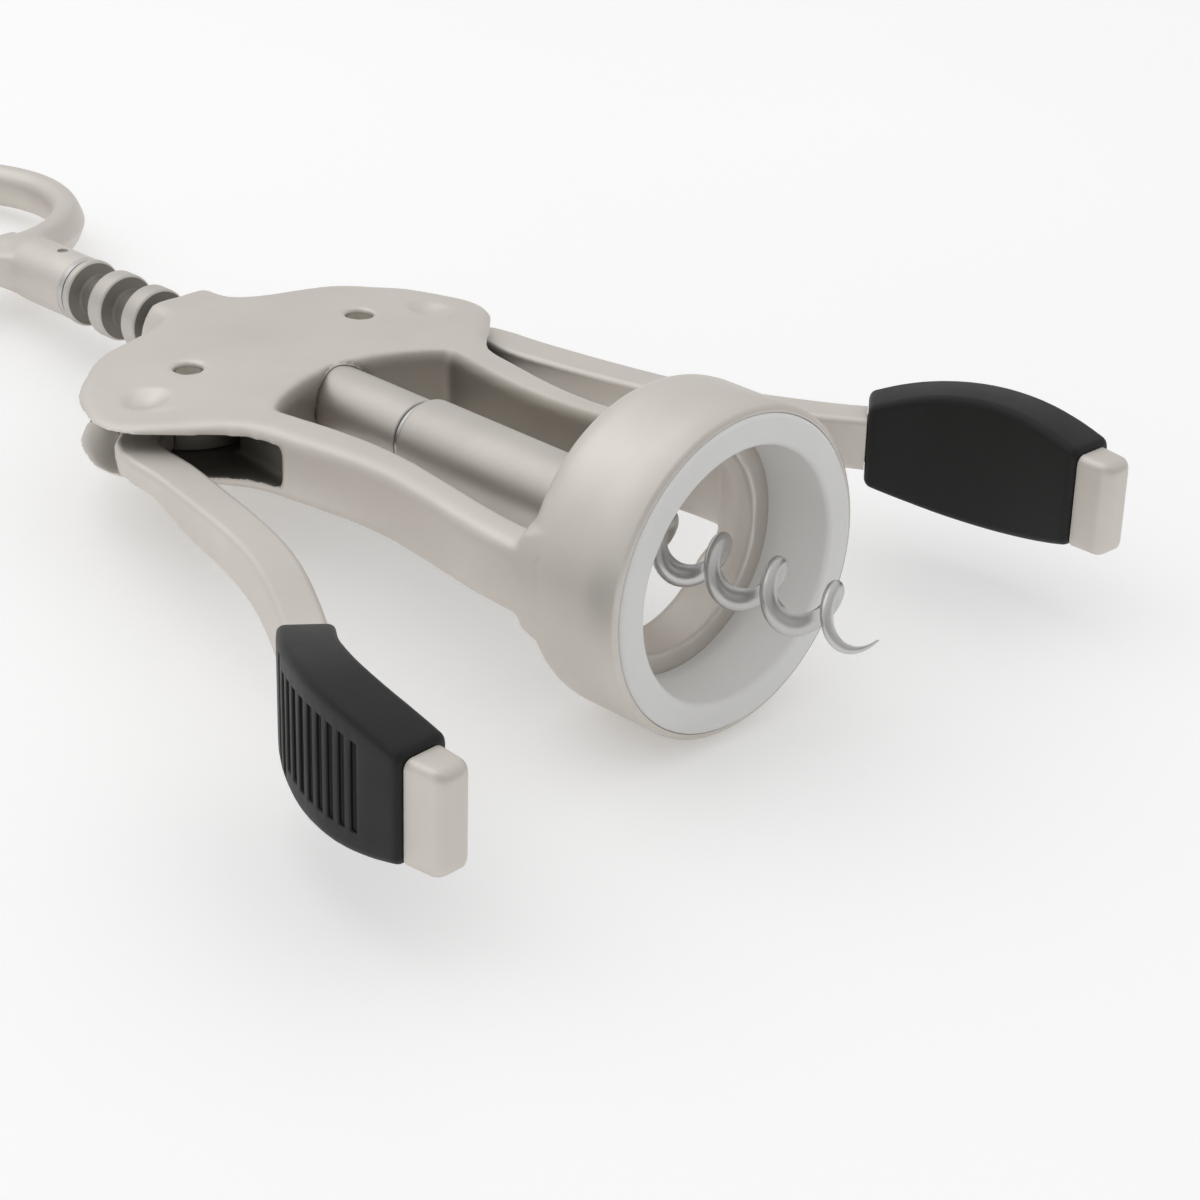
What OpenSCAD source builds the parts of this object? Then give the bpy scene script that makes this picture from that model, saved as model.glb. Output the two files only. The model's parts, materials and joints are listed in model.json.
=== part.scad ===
// Wing corkscrew lying flat, in millimetres.
// The axis of the screw runs along Y: the mouth of the bell faces -Y and the handle points to +Y.
// The two wings open in the XY plane, and Z is up. Y = 0 is where the straight wall of the bell begins.

/* [Bell] */
// Outside diameter of the bell
bell_d = 43; // [41:0.5:47]
// Length of the straight wall and rounded back of the bell
bell_len = 17; // [15.5:0.5:22]
// Radius of the rounded back edge of the bell
bell_back_r = 5; // [2:0.5:6]
// Chamfer round the front edge of the bell
rim_chamfer = 0.5; // [0.2:0.1:0.8]
// Metal lip that shows round the liner
rim_lip = 0.9; // [0.7:0.1:1.5]
// Diameter of the opening at the back, which a cork passes through
throat_d = 27; // [25:0.5:29]
// Depth of the step that the lip of a bottle stops against
seat_depth = 9; // [7:0.5:11]

/* [Liner] */
// Bore of the plastic liner, which fits over the lip of a bottle
liner_bore_d = 33; // [30:0.5:35]
// Thickness of the front flange of the liner
liner_flange_t = 3; // [2:0.5:5]
// Wall of the sleeve behind the flange
liner_wall = 1.8; // [1.2:0.1:2]
// How far the liner stands out of the bell
liner_proud = 0.5; // [0.2:0.1:1.5]
// How far the liner reaches behind the step that a bottle stops against
liner_sunk = 0.6; // [0.4:0.1:1]
// Radius on the front edges of the liner
liner_edge_r = 0.8; // [0.4:0.1:1.2]

/* [Frame] */
// Thickness of the casting on its centre line
plate_t = 11; // [10:0.5:13]
// How much lower the casting is at the tips of its shoulders
crown_drop = 1.8; // [0.5:0.1:2]
// Radius of the rounded edges of the casting
edge_r = 1.8; // [1:0.1:2]
// Half width over the legs at the waist
waist_half_w = 18.8; // [18:0.1:21]
// Distance from the mouth to the waist
waist_y = 42; // [38:1:46]
// Width of a leg at the waist
leg_w = 5.5; // [4.5:0.1:6]
// Half width over the legs where they spread into the shoulders
hip_half_w = 20.6; // [19.5:0.1:22]
// Distance from the mouth to that spread
hip_y = 57; // [54:1:58]
// Half width of the window at its top corners
window_half_w = 15; // [14:0.1:15.5]
// Distance from the mouth to the top corners of the window
window_y = 67; // [64:0.5:69]
// Rise of the arch over the window
window_rise = 5; // [3:0.5:5]
// How far the shoulders reach outwards of the pivot
shoulder_out = 19; // [17:0.1:20]
// Place of that reach towards the mouth from the pivot
shoulder_drop = 4.7; // [3.5:0.1:5.5]
// How far the shoulders cover the tips of the gear teeth
gear_cover = 1.8; // [0.8:0.1:2.4]
// Distance from the mouth to the slot that the wings turn in
slot_y = 61; // [60:0.5:63]
// Height of that slot
slot_h = 5.8; // [5:0.1:6.2]
// Wall left between the slot and the window
slot_wall = 3.6; // [2.5:0.1:4]
// Diameter of the collar that guides the rack
collar_d = 14.4; // [13.6:0.2:16]
// Distance from the mouth to the end of the collar
collar_y = 108; // [106:0.5:112]
// Radius of the cast dimple on each shoulder
dimple_r = 3.2; // [2:0.1:3.6]
// Depth of that dimple
dimple_depth = 0.9; // [0.4:0.1:1.1]
// Place of the dimple outwards of the pivot
dimple_out = 8.2; // [6:0.1:8.5]
// Place of the dimple towards the mouth from the pivot
dimple_drop = 5; // [3:0.1:6]

/* [Rack and gears] */
// Module of the teeth
gear_module = 2.5; // [2.4:0.05:2.6]
// Teeth that a full gear would have
gear_teeth = 9; // [8:1:10]
// Slope of the flanks of the teeth, in degrees
pressure_angle = 25; // [22:1:26]
// Height of a gear tooth over the pitch circle
gear_addendum = 0.85; // [0.7:0.05:0.95]
// Height of a rack ring over the pitch line
rack_addendum = 0.95; // [0.8:0.05:1]
// Room between a tip and the root that it turns past
tip_clear = 0.2; // [0.15:0.05:0.4]
// Play between the flanks
backlash = 0.4; // [0.3:0.05:0.6]
// Outside diameter of the rack
rack_d = 10; // [9.6:0.1:10.6]
// Distance from the mouth to the lower end of the rack
rack_start_y = 56.4; // [54:0.2:58]
// Distance from the mouth to the upper end of the rack
rack_end_y = 129; // [127:0.5:132]
// Distance from the mouth to the pivots of the wings
pivot_y = 86; // [84:0.5:88]
// Diameter of the pivot pins
pivot_d = 4; // [3:0.1:5]
// How deep the ends of the pivot pins lie under the casting
pivot_sunk = 0.6; // [0.2:0.1:0.8]

/* [Wings] */
// Thickness of the gear between the plates
gear_t = 5.4; // [4.6:0.1:5.6]
// Distance of the elbow outwards of the pivot
elbow_out = 17; // [16:0.1:19]
// Distance of the elbow towards the mouth from the pivot
elbow_drop = 20; // [18:0.5:23]
// Distance of the tip outwards of the pivot
tip_out = 44; // [40:0.1:50]
// Distance of the tip towards the mouth from the pivot
tip_drop = 101; // [92:0.5:106]
// How far the lever bows inwards below the elbow
lever_bow = 2.1; // [1:0.1:4]
// How far the grip bows outwards
grip_bow = 5.4; // [3:0.1:6.5]
// How far the middle of the lever lies below the plane of the frame outside the shoulder
lever_step = 2; // [1:0.1:3]
// Length of the step down to that
lever_step_len = 10; // [6:0.5:16]
// How far the tips hang below the plane of the frame
lever_sag = 4.3; // [3:0.1:6]
// Width of the lever at the shoulder
lever_w = 6.4; // [5.6:0.1:7.4]
// Height of the lever inside the slot, where it lies low
lever_root_h = 3.6; // [3:0.1:5]
// Height of the lever outside the shoulder
lever_h = 5.6; // [5:0.1:7]
// Width of the lever where it enters the grip
lever_end_w = 5.6; // [5:0.1:6.4]
// Height of the lever where it enters the grip
lever_end_h = 7.8; // [7.2:0.1:9]
// Radius of the edges of the lever
lever_edge_r = 1; // [0.6:0.1:1.6]
// Width of the metal core inside the grip
core_w = 3.4; // [3:0.1:4]
// Height of the metal core inside the grip
core_h = 6.4; // [5.6:0.1:7]
// How far the core reaches into the tip cap
core_reach = 3; // [2:0.1:3.6]
// Length of the tip cap beyond the grip
tip_len = 5.5; // [4:0.1:8]
// Width of the tip cap
tip_w = 6; // [5:0.1:7]
// Height of the tip cap
tip_h = 12.2; // [11:0.1:12.8]

/* [Grips] */
// Length of a grip
grip_len = 33; // [28:0.5:36]
// Width of a grip where the lever enters it
grip_start_w = 7.6; // [7:0.1:9]
// Width of a grip at its middle
grip_w = 7.4; // [7:0.1:9]
// Width of a grip at its tip end
grip_end_w = 6.8; // [6.6:0.1:8]
// Height of a grip where the lever enters it
grip_start_h = 11.6; // [11:0.1:14]
// Height of a grip at its middle
grip_mid_h = 18.4; // [16:0.1:21]
// Height of a grip at its tip end
grip_end_h = 13.6; // [13.2:0.1:15]
// Number of grooves across the outer face
groove_count = 10; // [4:1:11]
// Distance between grooves
groove_pitch = 2.25; // [1.8:0.05:2.4]
// Width of a groove
groove_w = 0.75; // [0.5:0.05:0.9]
// Depth of a groove
groove_depth = 0.7; // [0.3:0.05:1]
// Distance from the lever's end of the grip to the first groove
groove_start = 3; // [2:0.1:5]
// Plain margin over and under the grooves
groove_margin = 2.6; // [2:0.1:4]

/* [Screw] */
// Diameter of the spindle inside the rack
spindle_d = 3.6; // [3:0.1:3.8]
// Diameter of the hub that holds the worm
hub_d = 11.4; // [10.6:0.1:13]
// Distance from the mouth to the lower end of the hub
hub_start_y = 21; // [18:0.5:26]
// Outside diameter of the worm
worm_d = 8.6; // [8:0.1:10]
// Diameter of the wire of the worm
worm_wire_d = 3; // [2.4:0.1:3.4]
// Rise of the worm in one turn
worm_pitch = 9; // [7:0.1:11]
// How far the point of the worm stands out of the mouth
worm_reach = 21; // [15:0.5:26]
// Diameter of the shank that holds the worm in its hub
worm_shank_d = 5.4; // [5:0.1:6.5]
// Length of that shank inside the hub
worm_shank_len = 8; // [6:0.5:12]
// Length of the ground point of the worm
worm_point_len = 7; // [4:0.5:10]
// Diameter of the cross pins of the hub and the handle
cross_pin_d = 1.6; // [1.2:0.1:1.8]
// Depth of the spindle inside the hub and inside the handle
spindle_grip = 10; // [8:0.5:12]

/* [Handle] */
// Diameter of the neck of the handle
neck_d = 9.6; // [9:0.1:9.8]
// Thickness of the washers at the ends of the rack
washer_t = 0.8; // [0.5:0.1:1.5]
// Radius of the bow, to the middle of its section
bow_r = 20.6; // [17:0.1:24]
// Width of the section of the bow
bow_w = 5.4; // [4.5:0.1:7]
// Height of the section of the bow
bow_h = 6.8; // [6:0.1:8]
// Distance from the foot of the neck to the centre of the bow
neck_len = 39; // [37:0.5:46]
// Width of the cap lifter inside the bow
lifter_w = 11; // [8:0.5:14]
// How far the cap lifter stands into the bow
lifter_reach = 4; // [3:0.5:6]
// Thickness of the cap lifter
lifter_t = 3; // [2:0.1:4]

/* [Edges] */
// Chamfer of the turned pieces
turned_chamfer = 0.4; // [0.2:0.1:0.6]
// Radius on the end of the collar
collar_edge_r = 1; // [0.5:0.1:1.4]
// Radius on the lower end of the hub
hub_nose_r = 1.2; // [0.6:0.1:1.4]
// Radius on the upper end of the hub
hub_back_r = 0.6; // [0.3:0.1:1]
// Radius on the edges and ends of the grips
grip_round = 1.4; // [1:0.1:1.6]
// Radius of the hollow between the neck and the bow of the handle
web_r = 5; // [3:0.5:7]
// How deep the ends of the cross pins lie
pin_sunk = 0.3; // [0.1:0.1:0.5]

/* [Clearances] */
// Radial play of the rack and the spindle
running_clear = 0.08; // [0.04:0.01:0.1]
// Radial play of the wings on their pins
pivot_clear = 0.05; // [0.03:0.01:0.1]
// Radial play of pieces that are fixed together
seat_clear = 0.03; // [0.02:0.01:0.05]
// End play between turning pieces
end_clear = 0.2; // [0.1:0.05:0.3]

/* [Hidden] */
$fn = 64;

NICKEL = [0.78, 0.76, 0.73];
STEEL = [0.72, 0.72, 0.72];
WHITE_PLASTIC = [0.93, 0.94, 0.95];
BLACK_RUBBER = [0.07, 0.07, 0.075];

// Gears and rack
gear_r = gear_module * gear_teeth / 2;
gear_tip_r = gear_r + gear_addendum;
gear_root_r = gear_r - rack_addendum - tip_clear;
gear_base_r = gear_r * cos(pressure_angle);
tooth_pitch = PI * gear_module;
tooth_w = (tooth_pitch - backlash) / 2;
rack_r = rack_d / 2;
rack_line_r = rack_r - rack_addendum;
rack_root_r = rack_line_r - gear_addendum - tip_clear;
pivot_x = gear_r + rack_line_r;
tooth_angles = [for (k = [-1 : 3]) k * 360 / gear_teeth];
first_groove = -1;
last_groove = floor((rack_end_y - pivot_y - tooth_w / 2) / tooth_pitch);

// Bell and liner
bell_r = bell_d / 2;
throat_r = throat_d / 2;
liner_bore_r = liner_bore_d / 2;
flange_r = bell_r - rim_lip;
sleeve_r = liner_bore_r + liner_wall;
liner_front_y = -rim_chamfer - liner_proud;
flange_back_y = liner_front_y + liner_flange_t;
liner_back_y = seat_depth + liner_sunk;

// Frame
plate_half = plate_t / 2;
lobe_r = gear_tip_r + gear_cover;
shoulder_half_w = pivot_x + shoulder_out;
slot_r = gear_tip_r + 2 * tip_clear;
slot_wall_x = window_half_w + slot_wall;
collar_r = collar_d / 2;
edge_steps = [0, 30, 60, 90];
far = 200;
tiny = 0.001;
// Depth of one piece of a casting inside the next
overlap = 2;

// Screw
hub_end_y = rack_start_y - end_clear - washer_t;
neck_start_y = rack_end_y + end_clear + washer_t;
bow_y = neck_start_y + neck_len;
worm_wire_r = worm_wire_d / 2;
worm_helix_r = worm_d / 2 - worm_wire_r;
worm_sides = 8;
worm_rings = 14;
// Part of the full size that the helix begins with and that the point ends with
worm_first_spread = 0.3;
worm_point_share = 0.12;
// Length over which the helix spreads to its full size
worm_lead_in = 4;

function unit(v) = v / norm(v);
function end_safe(p, i) = p[max(0, min(len(p) - 1, i))];
function mirrored(p) = [for (i = [len(p) - 1 : -1 : 0]) [-p[i][0], p[i][1]]];

// Smooth curve through the points p, in n steps
function curve_point(p, u) =
    let (
        i = min(floor(u), len(p) - 2),
        t = u - i,
        a = end_safe(p, i - 1),
        b = p[i],
        c = p[i + 1],
        d = end_safe(p, i + 2)
    )
    (2 * b + (c - a) * t + (2 * a - 5 * b + 4 * c - d) * t ^ 2 + (3 * b - a - 3 * c + d) * t ^ 3) / 2;
function curve(p, n) = [for (k = [0 : n]) curve_point(p, k * (len(p) - 1) / n)];
function arc(centre, r, from, to, n) =
    [for (k = [0 : n]) let (a = from + (to - from) * k / n) centre + r * [cos(a), sin(a)]];

// Normal on the right-hand side of an open path, at its point i
function side_normal(p, i) =
    let (t = unit(end_safe(p, i + 1) - end_safe(p, i - 1))) [t[1], -t[0]];

// Point and direction at the distance s along a path
function length_to(p, i) = i == 0 ? 0 : length_to(p, i - 1) + norm(p[i] - p[i - 1]);
function path_length(p) = length_to(p, len(p) - 1);
function segment_at(p, s, i = 1, run = 0) =
    let (step = norm(p[i] - p[i - 1]))
    (run + step >= s || i == len(p) - 1) ? [i, (s - run) / step] : segment_at(p, s, i + 1, run + step);
function point_at(p, s) =
    let (g = segment_at(p, s)) p[g[0] - 1] + g[1] * (p[g[0]] - p[g[0] - 1]);
function heading_at(p, s) = unit(point_at(p, s + 1) - point_at(p, s - 1));

// Closed skin over rings of points, as triangles
module skin(rings) {
    n = len(rings[0]);
    last = (len(rings) - 1) * n;
    points = [for (ring = rings) each ring];
    walls = [
        for (j = [0 : len(rings) - 2]) for (i = [0 : n - 1])
            let (a = j * n + i, b = j * n + (i + 1) % n)
            each [[a, a + n, b + n], [a, b + n, b]]
    ];
    start_cap = [for (i = [0 : n - 1]) i];
    end_cap = [for (i = [n - 1 : -1 : 0]) last + i];
    polyhedron(points, concat(walls, [start_cap], [end_cap]));
}

// Corner points of a rounded rectangle, w across and h high
function rounded_ring(w, h, r, steps = 3) = [
    for (q = [0 : 3]) for (k = [0 : steps])
        let (
            a = 90 * q + 90 * k / steps,
            sx = (q == 0 || q == 3) ? 1 : -1,
            sy = q < 2 ? 1 : -1
        )
        [sx * (w / 2 - r) + r * cos(a), sy * (h / 2 - r) + r * sin(a)]
];

// Ring of a bar that follows a flat path: u runs across the path, v runs up
function bar_ring(path, s, section) =
    let (c = point_at(path, s), t = heading_at(path, s), sag = lever_drop(s))
    [for (q = section) [c[0] + q[0] * -t[1], c[1] + q[0] * t[0], q[1] - sag]];

module along_y(y) {
    translate([0, y, 0])
        rotate([-90, 0, 0])
            children();
}

// A revolved solid about Y from points given as [radius, y]
module turned(points) {
    rotate([-90, 0, 0])
        rotate_extrude()
            polygon(points);
}

// Height of the casting's upper face over the wing plane
function crown(x) = plate_half - crown_drop * (x / shoulder_half_w) ^ 2;

// Right-hand edge of the casting, from inside the bell up to inside the collar
pivot = [pivot_x, pivot_y];
function on_lobe(a) = pivot + lobe_r * [cos(a), sin(a)];
leg_root = [bell_r - overlap, liner_back_y + overlap];
// Points of the spread over the hip, of the round of the shoulder and of the neck over it
leg_dip = 8;
hip_step = [1.4, 9];
shoulder = pivot + [shoulder_out, -shoulder_drop];
shoulder_steps = [[-6.5, -9.3], [-1.8, -4.8], [0, 0], [-1.3, 4.7], [-4.4, 10.3]];
// Angles of the round over the gear that runs from the shoulder to the neck
lobe_start = 45;
lobe_end = 80;
lobe_step = 7;
neck_steps = [[3.5, 1.2], [-0.6, 3.4], [-1.4, 6.4]];
leg_points = [
    leg_root,
    [(leg_root[0] + waist_half_w) / 2, (bell_len + waist_y) / 2 - leg_dip],
    [waist_half_w, waist_y],
    [hip_half_w, hip_y],
    [hip_half_w, hip_y] + hip_step
];
leg_edge = curve(concat(leg_points, [for (n = shoulder_steps) shoulder + n], [on_lobe(lobe_start)]), 30);
lobe_edge = [for (a = [lobe_start + lobe_step : lobe_step : lobe_end - lobe_step]) on_lobe(a)];
neck_edge = curve(concat([on_lobe(lobe_end)], [for (n = neck_steps) [collar_r, pivot_y + lobe_r] + n]), 7);
casting_edge = concat(leg_edge, lobe_edge, neck_edge);

function edge_ring(p, i) =
    let (
        n = side_normal(p, i),
        rise = crown(p[i][0]) - edge_r,
        side = [
            for (a = edge_steps)
                let (at = p[i] - edge_r * (1 - cos(a)) * n) [at[0], at[1], rise + edge_r * sin(a)]
        ],
        top = [for (f = [0.6, 0.2, -0.2, -0.6]) let (x = f * side[3][0]) [x, side[3][1], crown(x)]],
        upper = concat(side, top, [for (k = [3 : -1 : 0]) [-side[k][0], side[k][1], side[k][2]]])
    )
    concat(upper, [for (k = [len(upper) - 1 : -1 : 0]) [upper[k][0], upper[k][1], -upper[k][2]]]);

module casting_plate() {
    skin([for (i = [len(casting_edge) - 1 : -1 : 0]) edge_ring(casting_edge, i)]);
}

// Window between the legs, with rounded edges above and below
leg_in = waist_half_w - leg_w;
// How far the roots of the legs stand back from the throat
throat_cover = 0.4;
window_side = curve([
    [throat_r + throat_cover, liner_back_y],
    [throat_r + throat_cover, bell_len],
    [leg_in, waist_y],
    [(2 * leg_in + window_half_w) / 3, hip_y - overlap],
    [window_half_w, window_y]
], 14);
arch_r = (window_half_w ^ 2 + window_rise ^ 2) / (2 * window_rise);
arch_angle = asin(window_half_w / arch_r);
arch_steps = 6;
arch_half = [
    for (k = [1 : arch_steps])
        let (a = arch_angle * (1 - k / arch_steps))
        [arch_r * sin(a), window_y + window_rise - arch_r * (1 - cos(a))]
];
window_half = concat(window_side, arch_half);

function window_ring(grow, lift, flat_z) = let (p = window_half) [
    for (side = [1, -1]) for (k = [0 : len(p) - 1])
        let (
            i = side > 0 ? k : len(p) - 1 - k,
            q = p[i] + grow * side_normal(p, i),
            z = flat_z != 0 ? flat_z : sign(lift) * (crown(p[i][0]) - edge_r) + lift
        )
        if (!(side < 0 && i == len(p) - 1)) [side * (i == len(p) - 1 ? 0 : q[0]), q[1], z]
];

module window_cut() {
    roll = [for (a = edge_steps) [edge_r * (1 - cos(a)), edge_r * sin(a)]];
    above = [for (g = roll) window_ring(g[0], max(g[1], tiny), 0)];
    below = [for (k = [3 : -1 : 0]) window_ring(roll[k][0], -max(roll[k][1], tiny), 0)];
    skin(concat([window_ring(edge_r, 0, -plate_t)], below, above, [window_ring(edge_r, 0, plate_t)]));
}

// The bell as one revolved wall: outside, flared throat, seat for the bottle and recess for the liner
module bell_body() {
    flare = 1;
    turned(concat(
        [[flange_r + seat_clear, -rim_chamfer], [bell_r - rim_chamfer, -rim_chamfer], [bell_r, 0]],
        arc([bell_r - bell_back_r, bell_len - bell_back_r], bell_back_r, 0, 90, 10),
        [
            [throat_r + flare, bell_len],
            [throat_r, bell_len - flare],
            [throat_r, seat_depth],
            [liner_bore_r - seat_clear, seat_depth],
            [liner_bore_r - seat_clear, liner_back_y],
            [sleeve_r + seat_clear, liner_back_y],
            [sleeve_r + seat_clear, flange_back_y],
            [flange_r + seat_clear, flange_back_y]
        ]
    ));
}

module collar_body() {
    foot_y = pivot_y + lobe_r - overlap;
    flat_relief = 0.02;
    intersection() {
        turned(concat(
            [[0, foot_y], [collar_r, foot_y]],
            arc([collar_r - collar_edge_r, collar_y - collar_edge_r], collar_edge_r, 0, 90, 4),
            [[0, collar_y]]
        ));
        cube([collar_d, 2 * far, 2 * (plate_half - flat_relief)], center = true);
    }
}

// Slot for the right-hand wing, open to the side of the shoulder
module wing_slot() {
    linear_extrude(slot_h, center = true) {
        translate(pivot)
            circle(slot_r);
        polygon([
            [slot_wall_x, slot_y],
            [far, slot_y],
            [far, far],
            [collar_r + overlap, far],
            [collar_r + overlap, pivot_y + gear_r],
            pivot
        ]);
    }
}

module shoulder_dimples() {
    ball_r = (dimple_r ^ 2 + dimple_depth ^ 2) / (2 * dimple_depth);
    x = pivot_x + dimple_out;
    for (up = [-1, 1])
        translate([x, pivot_y - dimple_drop, up * (crown(x) - dimple_depth + ball_r)])
            sphere(ball_r);
}

module both_sides() {
    children();
    mirror([1, 0, 0])
        children();
}

module frame_casting() {
    color(NICKEL)
        difference() {
            union() {
                difference() {
                    casting_plate();
                    window_cut();
                }
                bell_body();
                collar_body();
            }
            along_y(window_y)
                cylinder(r = rack_r + running_clear, h = far);
            both_sides() {
                wing_slot();
                shoulder_dimples();
                translate(pivot)
                    cylinder(r = pivot_d / 2 + seat_clear, h = far, center = true);
            }
        }
}

module bell_liner() {
    front = liner_front_y + liner_edge_r;
    color(WHITE_PLASTIC)
        turned(concat(
            arc([liner_bore_r + liner_edge_r, front], liner_edge_r, 180, 270, 5),
            arc([flange_r - liner_edge_r, front], liner_edge_r, -90, 0, 5),
            [
                [flange_r, flange_back_y],
                [sleeve_r, flange_back_y],
                [sleeve_r, liner_back_y],
                [liner_bore_r, liner_back_y]
            ]
        ));
}

module pivot_pin(side) {
    color(STEEL)
        translate([side * pivot_x, pivot_y, 0])
            cylinder(d = pivot_d, h = 2 * (crown(pivot_x) - pivot_sunk), center = true);
}

module left_pivot_pin() pivot_pin(-1);
module right_pivot_pin() pivot_pin(1);

// One gear tooth on the X axis, with involute flanks
function involute(a) = tan(a) - a * PI / 180;
function flank_angle(r) =
    (tooth_w / gear_r / 2 + involute(pressure_angle) - involute(acos(min(1, gear_base_r / r)))) * 180 / PI;
module gear_tooth() {
    steps = 5;
    foot_r = gear_root_r - overlap / 2;
    radii = [for (k = [0 : steps]) gear_base_r + (gear_tip_r - gear_base_r) * k / steps];
    flank = concat(
        [foot_r * [cos(flank_angle(gear_base_r)), sin(flank_angle(gear_base_r))]],
        [for (r = radii) r * [cos(flank_angle(r)), sin(flank_angle(r))]]
    );
    polygon(concat(flank, [for (k = [len(flank) - 1 : -1 : 0]) [flank[k][0], -flank[k][1]]]));
}

// Path of the right-hand lever from the gear to the tip, and the lengths of its stretches
elbow = pivot + [elbow_out, -elbow_drop];
tip = pivot + [tip_out, -tip_drop];
shank = tip - elbow;
shank_side = unit([-shank[1], shank[0]]);
// Places along the shank where the lever is drawn in and the grip is pushed out
bows = [[0.27, -lever_bow], [0.5, 0.14 * grip_bow], [0.67, grip_bow], [0.82, 0.97 * grip_bow]];
// Place of the root in the gear, and of the bend on the way from the root to the elbow, as shares
root_share = 0.8;
bend_share = [0.8, 0.33];
lever_root = pivot + root_share * gear_root_r * unit([elbow_out, -elbow_drop / 3]);
lever_bend = [for (k = [0, 1]) lever_root[k] + bend_share[k] * (elbow[k] - lever_root[k])];
bow_points = [for (b = bows) elbow + b[0] * shank + b[1] * shank_side];
lever_path = curve(concat([lever_root, lever_bend, elbow], bow_points, [tip]), 42);
lever_len = path_length(lever_path);
grip_end = lever_len - tip_len;
grip_start = grip_end - grip_len;

// The lever lies low inside the slot, then steps down and sinks evenly to the tip
slot_reach = norm(shoulder - pivot) + lever_w / 2;
slot_end_k = [for (k = [0 : len(lever_path) - 1]) if (norm(lever_path[k] - pivot) > slot_reach) k][0];
slot_end_s = length_to(lever_path, slot_end_k);
step_end_s = slot_end_s + lever_step_len;
slot_drop = (gear_t - lever_root_h) / 2;
drops = [[slot_end_s, slot_drop], [step_end_s, lever_step], [lever_len, lever_sag]];
function lever_drop(s) = lookup(s, drops);

module lever_bar() {
    steps = 26;
    widths = [[slot_end_s, lever_w], [grip_start, lever_end_w]];
    heights = [[slot_end_s, lever_root_h], [step_end_s, lever_h], [grip_start, lever_end_h]];
    skin([
        for (k = [0 : steps])
            let (s = grip_start * k / steps, w = lookup(s, widths), h = lookup(s, heights))
            bar_ring(lever_path, s, rounded_ring(w, h, lever_edge_r))
    ]);
}

module lever_core(grow) {
    steps = 8;
    from = grip_start - overlap;
    to = grip_end + core_reach + grow;
    skin([
        for (k = [0 : steps])
            let (s = from + (to - from) * k / steps)
            bar_ring(lever_path, s, rounded_ring(core_w + 2 * grow, core_h + 2 * grow, core_w / 4, 1))
    ]);
}

// Quarter round towards the end of a bar: distance from the end and how far the sides draw in
function end_round(r) = [for (a = edge_steps) r * [1 - sin(a), 1 - cos(a)]];

module tip_cap() {
    rings = concat([[tip_len, 0]], end_round(tip_w / 4));
    difference() {
        skin([
            for (g = rings)
                let (section = rounded_ring(tip_w - 2 * g[1], tip_h - 2 * g[1], tip_w / 5))
                bar_ring(lever_path, lever_len - g[0], section)
        ]);
        lever_core(seat_clear);
    }
}

module right_wing() {
    difference() {
        union() {
            translate(pivot)
                linear_extrude(gear_t, center = true) {
                    circle(gear_root_r);
                    for (a = tooth_angles)
                        rotate(180 - a)
                            gear_tooth();
                }
            lever_bar();
            lever_core(0);
        }
        translate(pivot)
            cylinder(r = pivot_d / 2 + pivot_clear, h = far, center = true);
    }
}

module right_tip_cap() color(NICKEL) tip_cap();
module left_tip_cap() color(NICKEL) mirror([1, 0, 0]) tip_cap();
module right_lever() color(NICKEL) right_wing();
module left_lever() color(NICKEL) mirror([1, 0, 0]) right_wing();

// Value of a bow through three heights, at the start, the middle and the end
function bow(t, a, b, c) = a * (1 - t) * (1 - 2 * t) + 4 * b * t * (1 - t) + c * t * (2 * t - 1);

module rubber_grip() {
    steps = 12;
    body_len = grip_len - end_clear;
    from = grip_start + end_clear / 2;
    ends = end_round(grip_round);
    rings = concat(
        [for (k = [3 : -1 : 0]) ends[k]],
        [for (k = [1 : steps - 1]) [body_len * k / steps, 0]],
        [for (e = ends) [body_len - e[0], e[1]]]
    );
    difference() {
        skin([
            for (g = rings)
                let (
                    t = g[0] / body_len,
                    w = bow(t, grip_start_w, grip_w, grip_end_w) - 2 * g[1],
                    h = bow(t, grip_start_h, grip_mid_h, grip_end_h) - 2 * g[1]
                )
                bar_ring(lever_path, from + g[0], rounded_ring(w, h, grip_round))
        ]);
        lever_core(seat_clear);
        for (k = [0 : groove_count - 1]) {
            s = grip_start + groove_start + groove_pitch * k;
            t = (s - grip_start) / grip_len;
            dir = heading_at(lever_path, s);
            half_w = bow(t, grip_start_w, grip_w, grip_end_w) / 2;
            groove_h = bow(t, grip_start_h, grip_mid_h, grip_end_h) - 2 * groove_margin;
            translate(point_at(lever_path, s))
                rotate(atan2(dir[1], dir[0]))
                    translate([0, half_w, -lever_drop(s)])
                        cube([groove_w, 2 * groove_depth, groove_h], center = true);
        }
    }
}

module right_grip() color(BLACK_RUBBER) rubber_grip();
module left_grip() color(BLACK_RUBBER) mirror([1, 0, 0]) rubber_grip();

// Rings of the rack: each groove takes a gear tooth on either side
module rack_sleeve() {
    slope = tan(pressure_angle);
    top_w = tooth_w + backlash + 2 * rack_addendum * slope;
    floor_w = tooth_w + backlash - 2 * (rack_line_r - rack_root_r) * slope;
    grooves = [
        for (k = [first_groove : last_groove])
            let (y = pivot_y + k * tooth_pitch)
            each [[rack_r, y - top_w / 2], [rack_root_r, y - floor_w / 2],
                [rack_root_r, y + floor_w / 2], [rack_r, y + top_w / 2]]
    ];
    bore_r = spindle_d / 2 + running_clear;
    color(NICKEL)
        turned(concat(
            [
                [bore_r, rack_start_y],
                [rack_r - turned_chamfer, rack_start_y],
                [rack_r, rack_start_y + turned_chamfer]
            ],
            grooves,
            [
                [rack_r, rack_end_y - turned_chamfer],
                [rack_r - turned_chamfer, rack_end_y],
                [bore_r, rack_end_y]
            ]
        ));
}

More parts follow.
